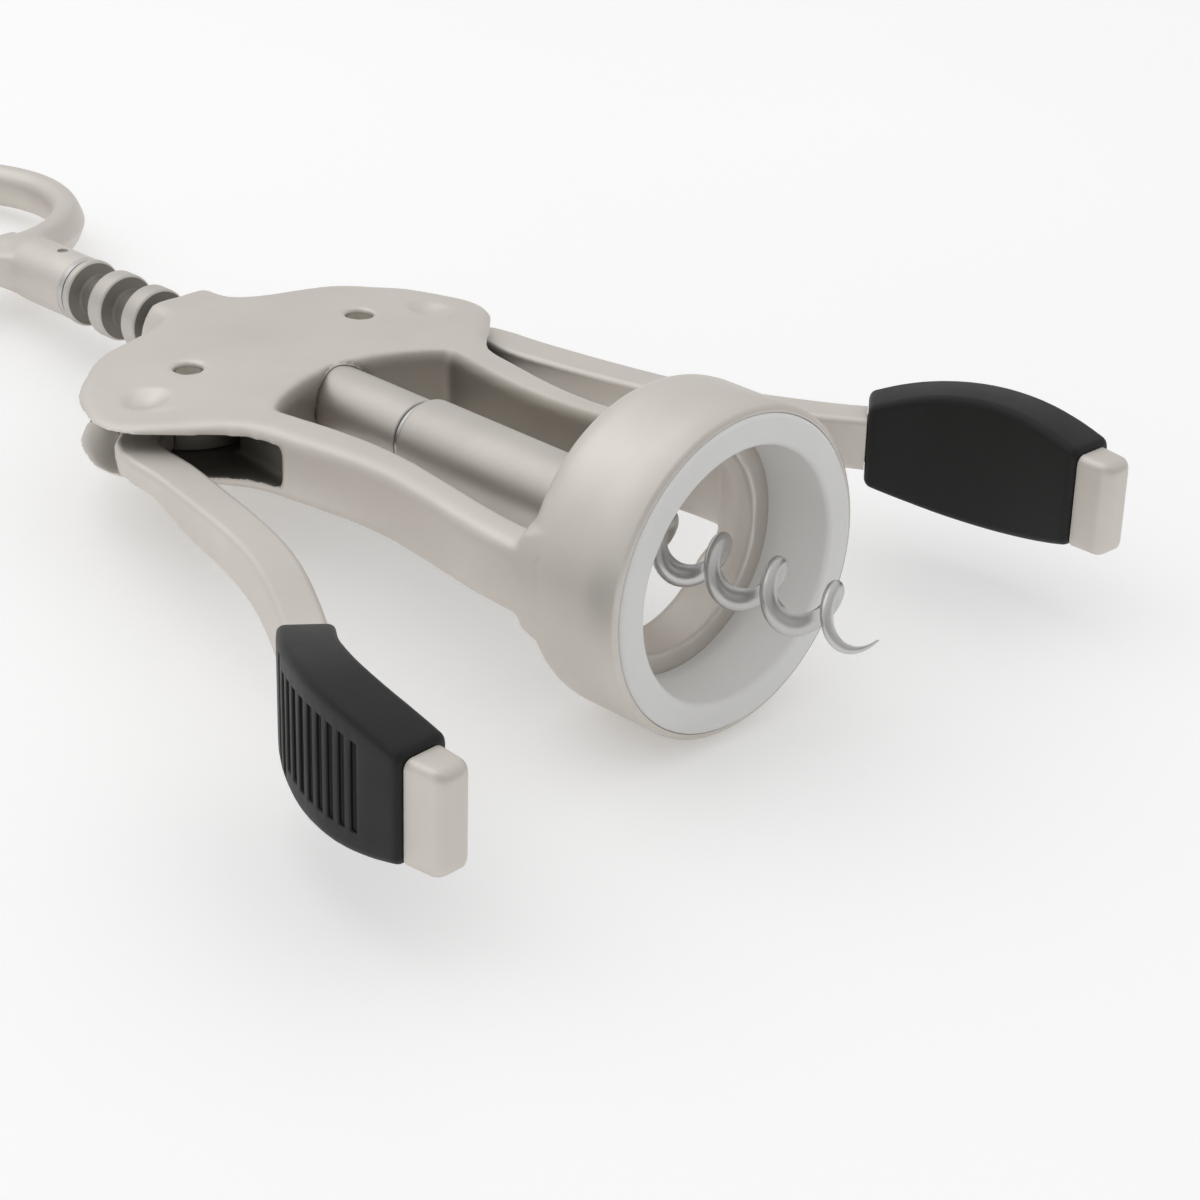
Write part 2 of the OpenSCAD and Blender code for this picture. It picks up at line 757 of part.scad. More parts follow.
module cross_pin_hole(y) {
    translate([0, y, 0])
        cylinder(d = cross_pin_d + 2 * seat_clear, h = far, center = true);
}

hub_pin_y = hub_end_y - spindle_grip / 2;
handle_pin_y = neck_start_y + spindle_grip / 2;

module spindle() {
    from = hub_end_y - spindle_grip + end_clear;
    to = neck_start_y + spindle_grip - end_clear;
    color(STEEL)
        difference() {
            along_y(from)
                cylinder(d = spindle_d, h = to - from);
            cross_pin_hole(hub_pin_y);
            cross_pin_hole(handle_pin_y);
        }
}

module rack_washer(y) {
    color(STEEL)
        along_y(y)
            difference() {
                cylinder(d = neck_d, h = washer_t);
                cylinder(d = spindle_d + 2 * seat_clear, h = 3 * washer_t, center = true);
            }
}

module upper_washer() rack_washer(neck_start_y - washer_t);
module lower_washer() rack_washer(hub_end_y);

module worm_hub() {
    hub_r = hub_d / 2;
    color(NICKEL)
        difference() {
            turned(concat(
                [[0, hub_start_y]],
                arc([hub_r - hub_nose_r, hub_start_y + hub_nose_r], hub_nose_r, -90, 0, 4),
                arc([hub_r - hub_back_r, hub_end_y - hub_back_r], hub_back_r, 0, 90, 3),
                [[0, hub_end_y]]
            ));
            along_y(hub_end_y - spindle_grip)
                cylinder(d = spindle_d + 2 * seat_clear, h = far);
            along_y(hub_start_y - worm_shank_len)
                cylinder(d = worm_shank_d + 2 * seat_clear, h = 2 * worm_shank_len);
            cross_pin_hole(hub_pin_y);
        }
}

module hub_pin() {
    color(STEEL)
        translate([0, hub_pin_y, 0])
            cylinder(d = cross_pin_d, h = hub_d - 2 * pin_sunk, center = true);
}

// The worm is one tube along a helix, drawn in at the shank and ground to a point
worm_end_y = -worm_reach;
worm_start_y = hub_start_y + overlap;
worm_turns = (worm_start_y - worm_end_y) / worm_pitch;
worm_steps = ceil(worm_turns * worm_rings);
function worm_y(k) = worm_start_y - k * worm_pitch / worm_rings;
function worm_spread(k) =
    worm_helix_r * min(1, worm_first_spread + max(0, hub_start_y - worm_wire_r - worm_y(k)) / worm_lead_in);
function worm_point(k) =
    let (a = 360 * k / worm_rings) [worm_spread(k) * cos(a), worm_y(k), worm_spread(k) * sin(a)];
function worm_thick(k) =
    worm_wire_r * min(1, worm_point_share + max(0, worm_y(k) - worm_end_y) / worm_point_len);
worm_line = [for (k = [0 : worm_steps]) worm_point(k)];

function tube_ring(p, i, r, sides) =
    let (
        t = unit(end_safe(p, i + 1) - end_safe(p, i - 1)),
        out = unit(cross(t, cross([p[i][0] + tiny, 0, p[i][2]], t))),
        up = cross(t, out)
    )
    [for (k = [0 : sides - 1]) let (a = 360 * k / sides) p[i] + r * (cos(a) * out + sin(a) * up)];

module worm() {
    color(STEEL)
        union() {
            skin([for (k = [0 : worm_steps]) tube_ring(worm_line, k, worm_thick(k), worm_sides)]);
            along_y(hub_start_y)
                cylinder(d = worm_shank_d, h = worm_shank_len - end_clear);
        }
}

worm_gap = min([
    for (i = [0 : worm_steps]) for (j = [0 : worm_steps])
        if (j - i > worm_rings / 2) norm(worm_line[i] - worm_line[j]) - worm_thick(i) - worm_thick(j)
]);
echo(worm_least_gap_to_itself = worm_gap);

module bow_section() {
    lift = (bow_h - bow_w) / 2;
    translate([bow_r, 0]) {
        square([bow_w, 2 * lift], center = true);
        for (up = [-1, 1])
            translate([0, up * lift])
                circle(d = bow_w);
    }
}

module handle_bow() {
    neck_r = neck_d / 2;
    outer_r = bow_r + bow_w / 2;
    base_y = bow_y - bow_r;
    web_relief = 0.5;
    // Hollow on the right, which touches the neck and the outside of the bow
    hollow_x = neck_r + web_r;
    hollow_y = bow_y - sqrt((outer_r + web_r) ^ 2 - hollow_x ^ 2);
    hollow = arc([hollow_x, hollow_y], web_r, 180, 90 + asin(hollow_x / (outer_r + web_r)), 8);
    color(NICKEL)
        difference() {
            union() {
                translate([0, bow_y, 0])
                    rotate_extrude()
                        bow_section();
                turned([
                    [0, neck_start_y],
                    [neck_r - turned_chamfer, neck_start_y],
                    [neck_r, neck_start_y + turned_chamfer],
                    [neck_r, hollow_y],
                    [bow_h / 2, base_y],
                    [0, base_y]
                ]);
                linear_extrude(bow_h - 2 * web_relief, center = true)
                    polygon(concat(hollow, mirrored(hollow)));
                translate([-lifter_w / 2, base_y, -lifter_t / 2])
                    cube([lifter_w, bow_w / 2 + lifter_reach, lifter_t]);
            }
            along_y(neck_start_y - overlap)
                cylinder(d = spindle_d + 2 * seat_clear, h = spindle_grip + overlap);
            cross_pin_hole(handle_pin_y);
        }
}

module handle_pin() {
    color(STEEL)
        translate([0, handle_pin_y, 0])
            cylinder(d = cross_pin_d, h = neck_d - 2 * pin_sunk, center = true);
}

frame_casting();
bell_liner();
left_pivot_pin();
right_pivot_pin();
left_lever();
right_lever();
left_grip();
right_grip();
left_tip_cap();
right_tip_cap();
rack_sleeve();
spindle();
upper_washer();
lower_washer();
worm_hub();
hub_pin();
worm();
handle_bow();
handle_pin();
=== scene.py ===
"""Wing corkscrew with rubber grips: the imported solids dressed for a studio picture."""
import json
import logging
import math
from dataclasses import dataclass, replace
from enum import Enum
from typing import Sequence

import bmesh
import bpy
from bmesh.types import BMEdge, BMesh, BMFace, BMVert
from bpy.types import Material, Node, NodeSocket, Object
from mathutils import Matrix, Vector


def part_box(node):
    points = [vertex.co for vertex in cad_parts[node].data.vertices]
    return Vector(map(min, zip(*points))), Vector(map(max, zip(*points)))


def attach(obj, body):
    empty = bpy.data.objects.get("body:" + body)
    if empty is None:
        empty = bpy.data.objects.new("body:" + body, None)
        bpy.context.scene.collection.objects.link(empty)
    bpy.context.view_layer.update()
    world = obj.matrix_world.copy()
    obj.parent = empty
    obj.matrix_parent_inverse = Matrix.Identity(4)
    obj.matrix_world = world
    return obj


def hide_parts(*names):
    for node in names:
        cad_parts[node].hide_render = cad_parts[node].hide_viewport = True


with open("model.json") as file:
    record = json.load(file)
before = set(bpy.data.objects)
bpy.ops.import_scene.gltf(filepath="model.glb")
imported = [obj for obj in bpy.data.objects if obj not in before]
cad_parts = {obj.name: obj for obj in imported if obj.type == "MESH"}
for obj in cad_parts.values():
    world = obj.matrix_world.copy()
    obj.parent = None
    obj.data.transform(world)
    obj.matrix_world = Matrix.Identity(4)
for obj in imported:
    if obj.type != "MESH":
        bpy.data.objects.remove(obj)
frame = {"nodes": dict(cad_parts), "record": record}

# Lengths in the part's classes are in millimetres, and MM turns them into metres.
MM = 0.001
# Merging distances in metres: at cuts and seams, in copies of nodes, and after the drill.
SNAP, WELD, SLIVER = 1e-7, 2e-6, 5e-6
PIVOT = (15.3, 86.0)
# Name of the mesh layer that holds the share of painted shade on the window's walls.
WINDOW_SHADE = "dull"
NOISE_LOW, NOISE_HIGH = 0.3, 0.7
# Sockets of the colour mix node.
MIX_FACTOR, MIX_FIRST, MIX_SECOND, MIX_RESULT = 0, 6, 7, 2
LOG = logging.getLogger("corkscrew")
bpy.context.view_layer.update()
Colour = tuple[float, float, float]
Triple = tuple[float, float, float]
Point = tuple[float, float]


def ease(t: float) -> float:
    """Smooth step from 0 to 1."""
    t = min(1.0, max(0.0, t))
    return t * t * (3 - 2 * t)


class Side(Enum):
    """The two wings, by the sign of their X."""

    LEFT = -1
    RIGHT = 1

    @property
    def word(self) -> str:
        """Name of the side, as the nodes spell it."""
        return self.name.lower()


class NodeBench:
    """Short hand for wiring one material's nodes."""

    def __init__(self, name: str) -> None:
        """Starts an empty material.

        Args:
            name: name of the material.
        """
        self.material = bpy.data.materials.new(name)
        self.material.use_nodes = True
        self.tree = self.material.node_tree
        self.tree.nodes.clear()
        self.output = self.add("ShaderNodeOutputMaterial")
        self.shader = self.add("ShaderNodeBsdfPrincipled")
        self.tree.links.new(self.shader.outputs["BSDF"], self.output.inputs["Surface"])
        self.place = self.add("ShaderNodeTexCoord").outputs["Object"]

    def add(self, kind: str, **settings: object) -> Node:
        """Adds one node.

        Args:
            kind: Blender's name of the node type.
            settings: properties of the node.

        Returns:
            The new node.
        """
        node = self.tree.nodes.new(kind)
        for key, value in settings.items():
            setattr(node, key, value)
        return node

    def join(self, source: NodeSocket, node: Node, socket: str | int) -> None:
        """Links a socket into a node's input."""
        self.tree.links.new(source, node.inputs[socket])

    def noise(self, scale: float, detail: float, rough: float = 0.5) -> NodeSocket:
        """Noise over the piece.

        Args:
            scale: cells to the metre.
            detail: octaves.
            rough: how strong the finer octaves are.

        Returns:
            The factor socket.
        """
        node = self.add("ShaderNodeTexNoise")
        node.inputs["Scale"].default_value = scale
        node.inputs["Detail"].default_value = detail
        node.inputs["Roughness"].default_value = rough
        self.join(self.place, node, "Vector")
        return node.outputs["Fac"]

    def span(self, source: NodeSocket, low: float, high: float) -> NodeSocket:
        """Stretches the middle of a noise, where most of it lies, to a range.

        Args:
            source: the noise.
            low: value at its low end.
            high: value at its high end.

        Returns:
            The result socket.
        """
        node = self.add("ShaderNodeMapRange")
        node.inputs["From Min"].default_value = NOISE_LOW
        node.inputs["From Max"].default_value = NOISE_HIGH
        node.inputs["To Min"].default_value = low
        node.inputs["To Max"].default_value = high
        self.join(source, node, "Value")
        return node.outputs["Result"]

    def blend(self, factor: NodeSocket, first: Colour | NodeSocket, second: Colour) -> NodeSocket:
        """Mixes two colours.

        Args:
            factor: share of the second colour.
            first: linear RGB, or the socket of a colour.
            second: linear RGB.

        Returns:
            The colour socket.
        """
        node = self.add("ShaderNodeMix", data_type="RGBA")
        if isinstance(first, NodeSocket):
            self.join(first, node, MIX_FIRST)
        else:
            node.inputs[MIX_FIRST].default_value = (*first, 1.0)
        node.inputs[MIX_SECOND].default_value = (*second, 1.0)
        self.join(factor, node, MIX_FACTOR)
        return node.outputs[MIX_RESULT]

    def stain(self, colour: NodeSocket, layer: str, tint: Colour) -> NodeSocket:
        """Draws a colour towards a tint, by the share that a layer of the mesh holds, which paints shade
        into the colour.
        """
        share = self.add("ShaderNodeAttribute", attribute_name=layer).outputs["Fac"]
        return self.blend(share, colour, tint)

    def bump(self, height: NodeSocket, strength: float, depth: float) -> None:
        """Gives the surface a fine relief.

        Args:
            height: the height map.
            strength: share of the relief.
            depth: its depth in metres.
        """
        node = self.add("ShaderNodeBump")
        node.inputs["Strength"].default_value = strength
        node.inputs["Distance"].default_value = depth
        self.join(height, node, "Height")
        self.join(node.outputs["Normal"], self.shader, "Normal")

    def fixed(self, **values: object) -> None:
        """Sets sockets of the shader that are the same all over."""
        for key, value in values.items():
            self.shader.inputs[key.replace("_", " ")].default_value = value


@dataclass(frozen=True)
class SatinMetal:
    """Metal with a fine blasted grain and a faint bloom, and painted shade where a layer of the mesh holds
    a share.
    """

    name: str
    tint: Colour
    bloom: Colour
    smooth: float
    rough: float
    grain: float = 2600.0
    relief: float = 0.000012
    grain_share: float = 0.35
    # Tint of painted shade, drawn in where the mesh's layer holds a share.
    dull_tint: Colour | None = None

    def material(self) -> Material:
        """Builds the material.

        Returns:
            The new material.
        """
        bench = NodeBench(self.name)
        cloud = bench.noise(scale=55.0, detail=3.0, rough=0.55)
        fine = bench.noise(self.grain, detail=2.0, rough=0.6)
        colour = bench.blend(bench.span(cloud, 0.0, 1.0), self.tint, self.bloom)
        if self.dull_tint:
            colour = bench.stain(colour, WINDOW_SHADE, self.dull_tint)
        bench.join(colour, bench.shader, "Base Color")
        mixed = bench.add("ShaderNodeMath", operation="MULTIPLY_ADD")
        mixed.inputs[1].default_value = self.grain_share
        bench.join(fine, mixed, 0)
        bench.join(cloud, mixed, 2)
        bench.join(bench.span(mixed.outputs[0], self.smooth, self.rough), bench.shader, "Roughness")
        bench.bump(fine, strength=0.35, depth=self.relief)
        bench.fixed(Metallic=1.0)
        return bench.material


@dataclass(frozen=True)
class MouldedPlastic:
    """Smooth plastic that lets a little light in."""

    name: str
    tint: Colour
    shade: Colour
    smooth: float
    rough: float

    def material(self) -> Material:
        """Builds the material.

        Returns:
            The new material.
        """
        bench = NodeBench(self.name)
        cloud = bench.noise(scale=90.0, detail=2.0)
        fine = bench.noise(scale=1500.0, detail=3.0)
        colour = bench.blend(bench.span(cloud, 0.0, 1.0), self.tint, self.shade)
        bench.join(colour, bench.shader, "Base Color")
        bench.join(bench.span(fine, self.smooth, self.rough), bench.shader, "Roughness")
        bench.bump(fine, strength=0.2, depth=0.00001)
        bench.fixed(IOR=1.49, Subsurface_Weight=0.12, Subsurface_Scale=0.001)
        bench.fixed(Subsurface_Radius=(1.0, 0.9, 0.8))
        return bench.material


@dataclass(frozen=True)
class SoftRubber:
    """Matt rubber with a fine moulded grain and a trace of dust."""

    name: str
    tint: Colour
    dust: Colour
    smooth: float
    rough: float

    def material(self) -> Material:
        """Builds the material.

        Returns:
            The new material.
        """
        bench = NodeBench(self.name)
        cloud = bench.noise(scale=130.0, detail=4.0, rough=0.6)
        grain = bench.noise(scale=4200.0, detail=2.0)
        colour = bench.blend(bench.span(cloud, 0.0, 1.0), self.tint, self.dust)
        bench.join(colour, bench.shader, "Base Color")
        bench.join(bench.span(cloud, self.smooth, self.rough), bench.shader, "Roughness")
        bench.bump(grain, strength=0.4, depth=0.00002)
        bench.fixed(IOR=1.45, Specular_IOR_Level=0.4)
        return bench.material


@dataclass(frozen=True)
class Finishes:
    """The finishes of the part: one for each material slot, and four that some surfaces have instead."""

    nickel: Material
    steel: Material
    liner_plastic: Material
    grip_rubber: Material
    greased: Material
    browned: Material
    cast: Material
    turned: Material

    @classmethod
    def mix(cls) -> "Finishes":
        """Builds all the finishes.

        Returns:
            The set.
        """
        nickel = SatinMetal("satin_nickel", (0.71, 0.674, 0.628), (0.67, 0.632, 0.585), 0.47, 0.56)
        steel = SatinMetal("drawn_steel", (0.60, 0.595, 0.585), (0.52, 0.515, 0.505), 0.22, 0.34, 3400.0)
        liner = MouldedPlastic("white_liner", (0.88, 0.877, 0.865), (0.85, 0.845, 0.832), 0.34, 0.43)
        rubber = SoftRubber("black_rubber", (0.0045, 0.0045, 0.0045), (0.0075, 0.0075, 0.0073), 0.45, 0.56)
        # Painted shade: a dark copy of the metal for the slots, the wings' gears and the rack's grooves,
        # where shade falls.
        greased = SatinMetal("greased_slot", (0.27, 0.254, 0.229), (0.20, 0.187, 0.167), 0.46, 0.60)
        # The pins get a darker, brownish steel than the other steel pieces.
        browned = SatinMetal("browned_pin", (0.27, 0.24, 0.20), (0.21, 0.185, 0.155), 0.36, 0.48, 3400.0)
        # The casting's nickel, with painted shade on the walls of the window.
        cast = replace(nickel, name="cast_nickel", dull_tint=(0.36, 0.33, 0.29))
        turned = SatinMetal("turned_nickel", (0.62, 0.589, 0.548), (0.58, 0.547, 0.507), 0.42, 0.52)
        makes = (nickel, steel, liner, rubber, greased, browned, cast, turned)
        return cls(*(make.material() for make in makes))

    def by_slot(self, slot: str) -> Material:
        """Finish of a material slot, by the slot's name."""
        return getattr(self, slot)


class Shop:
    """Mesh operations that several pieces share."""

    @staticmethod
    def soften(bm: BMesh, degrees: float) -> None:
        """Shades the mesh smooth, with sharp edges past an angle.

        Args:
            bm: the mesh.
            degrees: angle between faces past which an edge stays sharp.
        """
        limit = math.radians(degrees)
        for face in bm.faces:
            face.smooth = True
        for edge in bm.edges:
            edge.smooth = edge.is_manifold and edge.calc_face_angle(0.0) < limit

    @staticmethod
    def tidy(bm: BMesh) -> None:
        """Closes seams and turns all faces outwards."""
        bmesh.ops.remove_doubles(bm, verts=bm.verts[:], dist=SNAP)
        bmesh.ops.recalc_face_normals(bm, faces=bm.faces[:])

    @staticmethod
    def lathe(points: Sequence[Point], ring: bool, steps: int = 96) -> BMesh:
        """Turns a profile about the Y axis.

        Args:
            points: radius and Y of each corner, in millimetres.
            ring: True where the profile closes on itself away from the axis.
            steps: facets of the full turn.

        Returns:
            The new mesh.
        """
        bm = bmesh.new()
        verts = [bm.verts.new((r * MM, y * MM, 0.0)) for r, y in points]
        pairs = list(zip(verts, verts[1:] + ([verts[0]] if ring else [])))
        edges = [bm.edges.new(pair) for pair in pairs]
        bmesh.ops.spin(bm, geom=verts + edges, cent=(0, 0, 0), axis=(0, 1, 0), dvec=(0, 0, 0),
                       angle=2 * math.pi, steps=steps, use_merge=True)
        Shop.tidy(bm)
        return bm

    @staticmethod
    def add_rod(bm: BMesh, radius: float, start: float, end: float) -> None:
        """Adds a closed round rod on the Y axis, from one Y to another, in millimetres."""
        stand = Matrix.Translation((0, (start + end) / 2 * MM, 0)) @ Matrix.Rotation(math.pi / 2, 4, "X")
        bmesh.ops.create_cone(bm, cap_ends=True, segments=96, radius1=radius * MM, radius2=radius * MM,
                              depth=(end - start) * MM, matrix=stand)

    @staticmethod
    def round_edges(bm: BMesh, edges: list[BMEdge], width: float, segments: int) -> None:
        """Bevels some edges by a width in millimetres."""
        bmesh.ops.bevel(bm, geom=edges, offset=width * MM, offset_type="OFFSET", affect="EDGES",
                        segments=segments, profile=0.5, material=-1, clamp_overlap=True)

    @staticmethod
    def sharp_edges(bm: BMesh, degrees: float) -> list[BMEdge]:
        """Edges whose faces meet at more than an angle."""
        limit = math.radians(degrees)
        return [edge for edge in bm.edges if edge.is_manifold and edge.calc_face_angle(0.0) > limit]

    @staticmethod
    def copy_of(node: str) -> BMesh:
        """A merged copy of a node's mesh.

        Args:
            node: name of the node.

        Returns:
            The new mesh.
        """
        bm = bmesh.new()
        bm.from_mesh(frame["nodes"][node].data)
        bmesh.ops.remove_doubles(bm, verts=bm.verts[:], dist=WELD)
        bmesh.ops.dissolve_degenerate(bm, edges=bm.edges[:], dist=SNAP)
        return bm

    @staticmethod
    def block(name: str, bm: BMesh) -> Object:
        """Puts a mesh, which is freed, into an object of its own.

        Args:
            name: name of the object.
            bm: the mesh.

        Returns:
            The object.
        """
        mesh = bpy.data.meshes.new(name)
        bm.to_mesh(mesh)
        bm.free()
        made = bpy.data.objects.new(name, mesh)
        bpy.context.scene.collection.objects.link(made)
        return made

    @staticmethod
    def settle(block: Object) -> BMesh:
        """Takes an object's mesh as its modifiers leave it, and removes the object.

        Args:
            block: the object.

        Returns:
            The mesh.
        """
        bm = bmesh.new()
        bm.from_object(block, bpy.context.evaluated_depsgraph_get())
        bpy.data.objects.remove(block)
        return bm

    @staticmethod
    def voxel_skin(bm: BMesh, size: float) -> BMesh:
        """Wraps a mesh, which is freed, in one even skin.

        Args:
            bm: the mesh.
            size: size of the skin's faces in millimetres.

        Returns:
            The skin.
        """
        block = Shop.block("skin", bm)
        remesh = block.modifiers.new("blend", "REMESH")
        remesh.mode = "VOXEL"
        remesh.voxel_size = size * MM
        return Shop.settle(block)

    @staticmethod
    def relax(bm: BMesh, rounds: int) -> None:
        """Smooths a skin, which rounds its edges as a casting's are."""
        for _ in range(rounds):
            bmesh.ops.smooth_vert(bm, verts=bm.verts[:], factor=0.5,
                                  use_axis_x=True, use_axis_y=True, use_axis_z=True)

    @staticmethod
    def cut_across(bm: BMesh, y: float, side: int) -> None:
        """Cuts a mesh at a Y in millimetres and drops the end above it (side 1) or below it (side -1)."""
        bmesh.ops.bisect_plane(bm, geom=bm.verts[:] + bm.edges[:] + bm.faces[:], dist=SNAP,
                               plane_co=(0, y * MM, 0), plane_no=(0, side, 0), clear_outer=True)

    @staticmethod
    def take_in(bm: BMesh, other: BMesh) -> None:
        """Adds another mesh to a mesh.

        Args:
            bm: the mesh.
            other: the mesh to add, which is freed.
        """
        spare = bpy.data.meshes.new("spare")
        other.to_mesh(spare)
        other.free()
        bm.from_mesh(spare)
        bpy.data.meshes.remove(spare)

    @staticmethod
    def finish(name: str, bm: BMesh, material: Material, node: str) -> Object:
        """Makes a piece that stands for a node and rides on its body.

        Args:
            name: name of the piece.
            bm: its mesh, which is freed.
            material: its finish.
            node: the node it stands for.

        Returns:
            The new object.
        """
        piece = Shop.block(name, bm)
        piece.data.materials.append(material)
        bodies = frame["record"]["behaviour"]["bodies"]
        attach(piece, next(body for body, nodes in bodies.items() if node in nodes))
        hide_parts(node)
        LOG.info("%s: %d faces for %s", name, len(piece.data.polygons), node)
        return piece

    @staticmethod
    def even_shading(piece: Object) -> None:
        """Keeps the shading of a piece's flats even."""
        piece.modifiers.new("even_shading", "WEIGHTED_NORMAL").keep_sharp = True

    @staticmethod
    def finish_copy(name: str, node: str, material: Material) -> Object:
        """Dresses a copy of a node.

        Args:
            name: name of the piece.
            node: the node.
            material: its finish.

        Returns:
            The new object.
        """
        bm = Shop.copy_of(node)
        Shop.soften(bm, degrees=32.0)
        piece = Shop.finish(name, bm, material, node)
        Shop.even_shading(piece)
        return piece


@dataclass
class Casting:
    """The cast frame: bell, legs, shoulders and collar, with the soft edges of a casting."""

    finishes: Finishes
    voxel: float = 0.5
    smoothing: int = 4
    bell_radius: float = 21.5
    rim_chamfer: float = 0.5
    lip: float = 20.63
    lip_back: float = 2.03
    recess: float = 18.33
    front_end: float = 5.0
    join_y: float = 6.0
    bell_straight: float = 12.0
    wall_skin: float = 0.25
    rack_bore: float = 5.09
    plug: float = 5.3
    bore_start: float = 73.0
    bore_end: float = 107.6
    run_out: float = 8.0
    slot_start: float = 61.0
    slot_end: float = 97.0
    slot_half: float = 2.9
    slot_clear: float = 15.6
    slot_lit: float = 25.0
    slot_margin: float = 0.3
    cheek_turn: float = 0.5
    window_end: float = 74.0
    window_reach: float = 17.0
    # Painted shade on the window's walls: how steeply it comes in with the facing, and where along Y.
    dull_gain: float = 1.4
    dull_turn: float = 0.1
    dull_side: Point = (18.0, 12.0)
    dull_end: Point = (55.0, 6.0)
    plate_half: float = 5.5
    plate_skin: float = 1.4
    crown_drop: float = 1.8
    shoulder_half: float = 34.3
    old_dimple: Point = (23.5, 81.0)
    old_reach: float = 4.4
    dimple: Point = (25.3, 82.4)
    dimple_reach: float = 3.6
    dimple_depth: float = 1.2
    dimple_dish: float = 1.5
    waist_y: float = 53.0
    waist_reach: float = 17.0
    waist_pull: float = 0.8
    flare_start: float = 44.0
    flare_length: float = 24.0
    flare: float = 2.1
    flare_margin: float = 0.1
    leg_inside: Point = (8.0, 4.0)
    leg_face: Point = (8.0, 2.4)
    leg_foot: Point = (11.0, 6.0)

    def build(self) -> None:
        """Blends the solid's edges as a casting's are, and gives it a turned bell and a true bore."""
        bm = Shop.copy_of("frame_casting")
        Shop.add_rod(bm, self.plug, self.bore_start, self.bore_end)
        bm = Shop.voxel_skin(bm, self.voxel)
        Shop.relax(bm, self.smoothing)
        self.bend_legs(bm)
        self.press_dimples(bm)
        self.true_up(bm)
        self.turn_front(bm)
        bm = self.bore(bm)
        Shop.soften(bm, degrees=50.0)
        bm.normal_update()
        # Painted shade on the window's inward-facing walls, kept in a layer of the mesh.
        dull = bm.verts.layers.float.new(WINDOW_SHADE)
        for vert in bm.verts:
            vert[dull] = self.dullness(vert)
        # Painted shade on the slots' walls and cheeks, darker where they lie away from the light.
        for face in bm.faces:
            face.material_index = int(self.in_slot(face))
        piece = Shop.finish("cast_frame", bm, self.finishes.cast, "frame_casting")
        piece.data.materials.append(self.finishes.greased)

    def bend_legs(self, bm: BMesh) -> None:
        """Draws the legs in at the waist and out at the bell, as the casting flows.

        Args:
            bm: the casting's mesh.
        """
        for vert in bm.verts:
            x, y, z = vert.co / MM
            limit = math.sqrt(max(0.0, self.bell_radius ** 2 - z * z))
            if abs(x) > limit - self.flare_margin and y < self.flare_start:
                continue
            waist = max(0.0, 1 - ((y - self.waist_y) / self.waist_reach) ** 2) ** 2
            flare = ease((self.flare_start - y) / self.flare_length)
            push = self.flare * flare - self.waist_pull * waist
            hold = ease((abs(x) - self.leg_inside[0]) / self.leg_inside[1])
            hold = hold * ease((self.leg_face[0] - abs(z)) / self.leg_face[1])
            hold = hold * ease((y - self.leg_foot[0]) / self.leg_foot[1])
            reach = abs(x) + push * hold
            vert.co.x = math.copysign((min(reach, limit) if y < self.flare_start else reach) * MM, x)

    def press_dimples(self, bm: BMesh) -> None:
        """Fills the solid's dimple in each shoulder, which the skin blurs, and presses a new one.

        Args:
            bm: the casting's mesh.
        """
        for vert in bm.verts:
            x, y, z = vert.co / MM
            spot = Vector((abs(x), y))
            level = self.plate_half - self.crown_drop * (x / self.shoulder_half) ** 2
            if abs(z) < level - self.plate_skin:
                continue
            flat = ease(self.old_reach - (spot - Vector(self.old_dimple)).length)
            height = abs(z) + (level - abs(z)) * flat
            away = (spot - Vector(self.dimple)).length / self.dimple_reach
            height -= self.dimple_depth * max(0.0, 1 - away * away) ** self.dimple_dish
            vert.co.z = math.copysign(height * MM, z)

    def dullness(self, vert: BMVert) -> float:
        """How far painted shade darkens the metal, which it does on the inward-facing walls of the window.

        Args:
            vert: a corner of the casting's mesh.

        Returns:
            The share of the painted shade's tint.
        """
        x, y, z = vert.co / MM
        if y > self.window_end or math.hypot(x, z) < self.plug:
            return 0.0
        inwards = -math.copysign(vert.normal.x, vert.normal.x * x)
        side = ease(self.dull_gain * (inwards - self.dull_turn))
        end = ease(self.dull_gain * (-vert.normal.y - self.dull_turn))
        end = end if abs(x) < self.window_reach else 0.0
        on_side = ease((y - self.dull_side[0]) / self.dull_side[1])
        on_end = ease((y - self.dull_end[0]) / self.dull_end[1])
        return side * on_side + (1 - side) * end * on_end

    def in_slot(self, face: BMFace) -> bool:
        """Tells a face of the slots that the wings turn in, which gets painted shade.

        Args:
            face: a face of the casting.

        Returns:
            True for a wall of a slot, its upper cheek, or its lower one away from the light.
        """
        spot = face.calc_center_median() / MM
        inner = self.slot_clear if spot.y < self.window_end else self.rack_bore
        if not self.slot_start < spot.y < self.slot_end or abs(spot.x) < inner:
            return False
        turned = face.normal.z * spot.z < -self.cheek_turn * abs(spot.z)
        cheek = abs(spot.z) < self.slot_half + self.slot_margin and turned
        deep = spot.z > 0 or abs(spot.x) < self.slot_lit
        return cheek and deep or abs(spot.z) < self.slot_half - self.slot_margin

    def true_up(self, bm: BMesh) -> None:
        """Puts the outer wall of the bell back on its exact radius.

        Args:
            bm: the casting's mesh.
        """
        radius = self.bell_radius * MM
        for vert in bm.verts:
            r = math.hypot(vert.co.x, vert.co.z)
            if vert.co.y < self.bell_straight * MM and r > radius - self.wall_skin * MM:
                vert.co.x *= radius / r
                vert.co.z *= radius / r

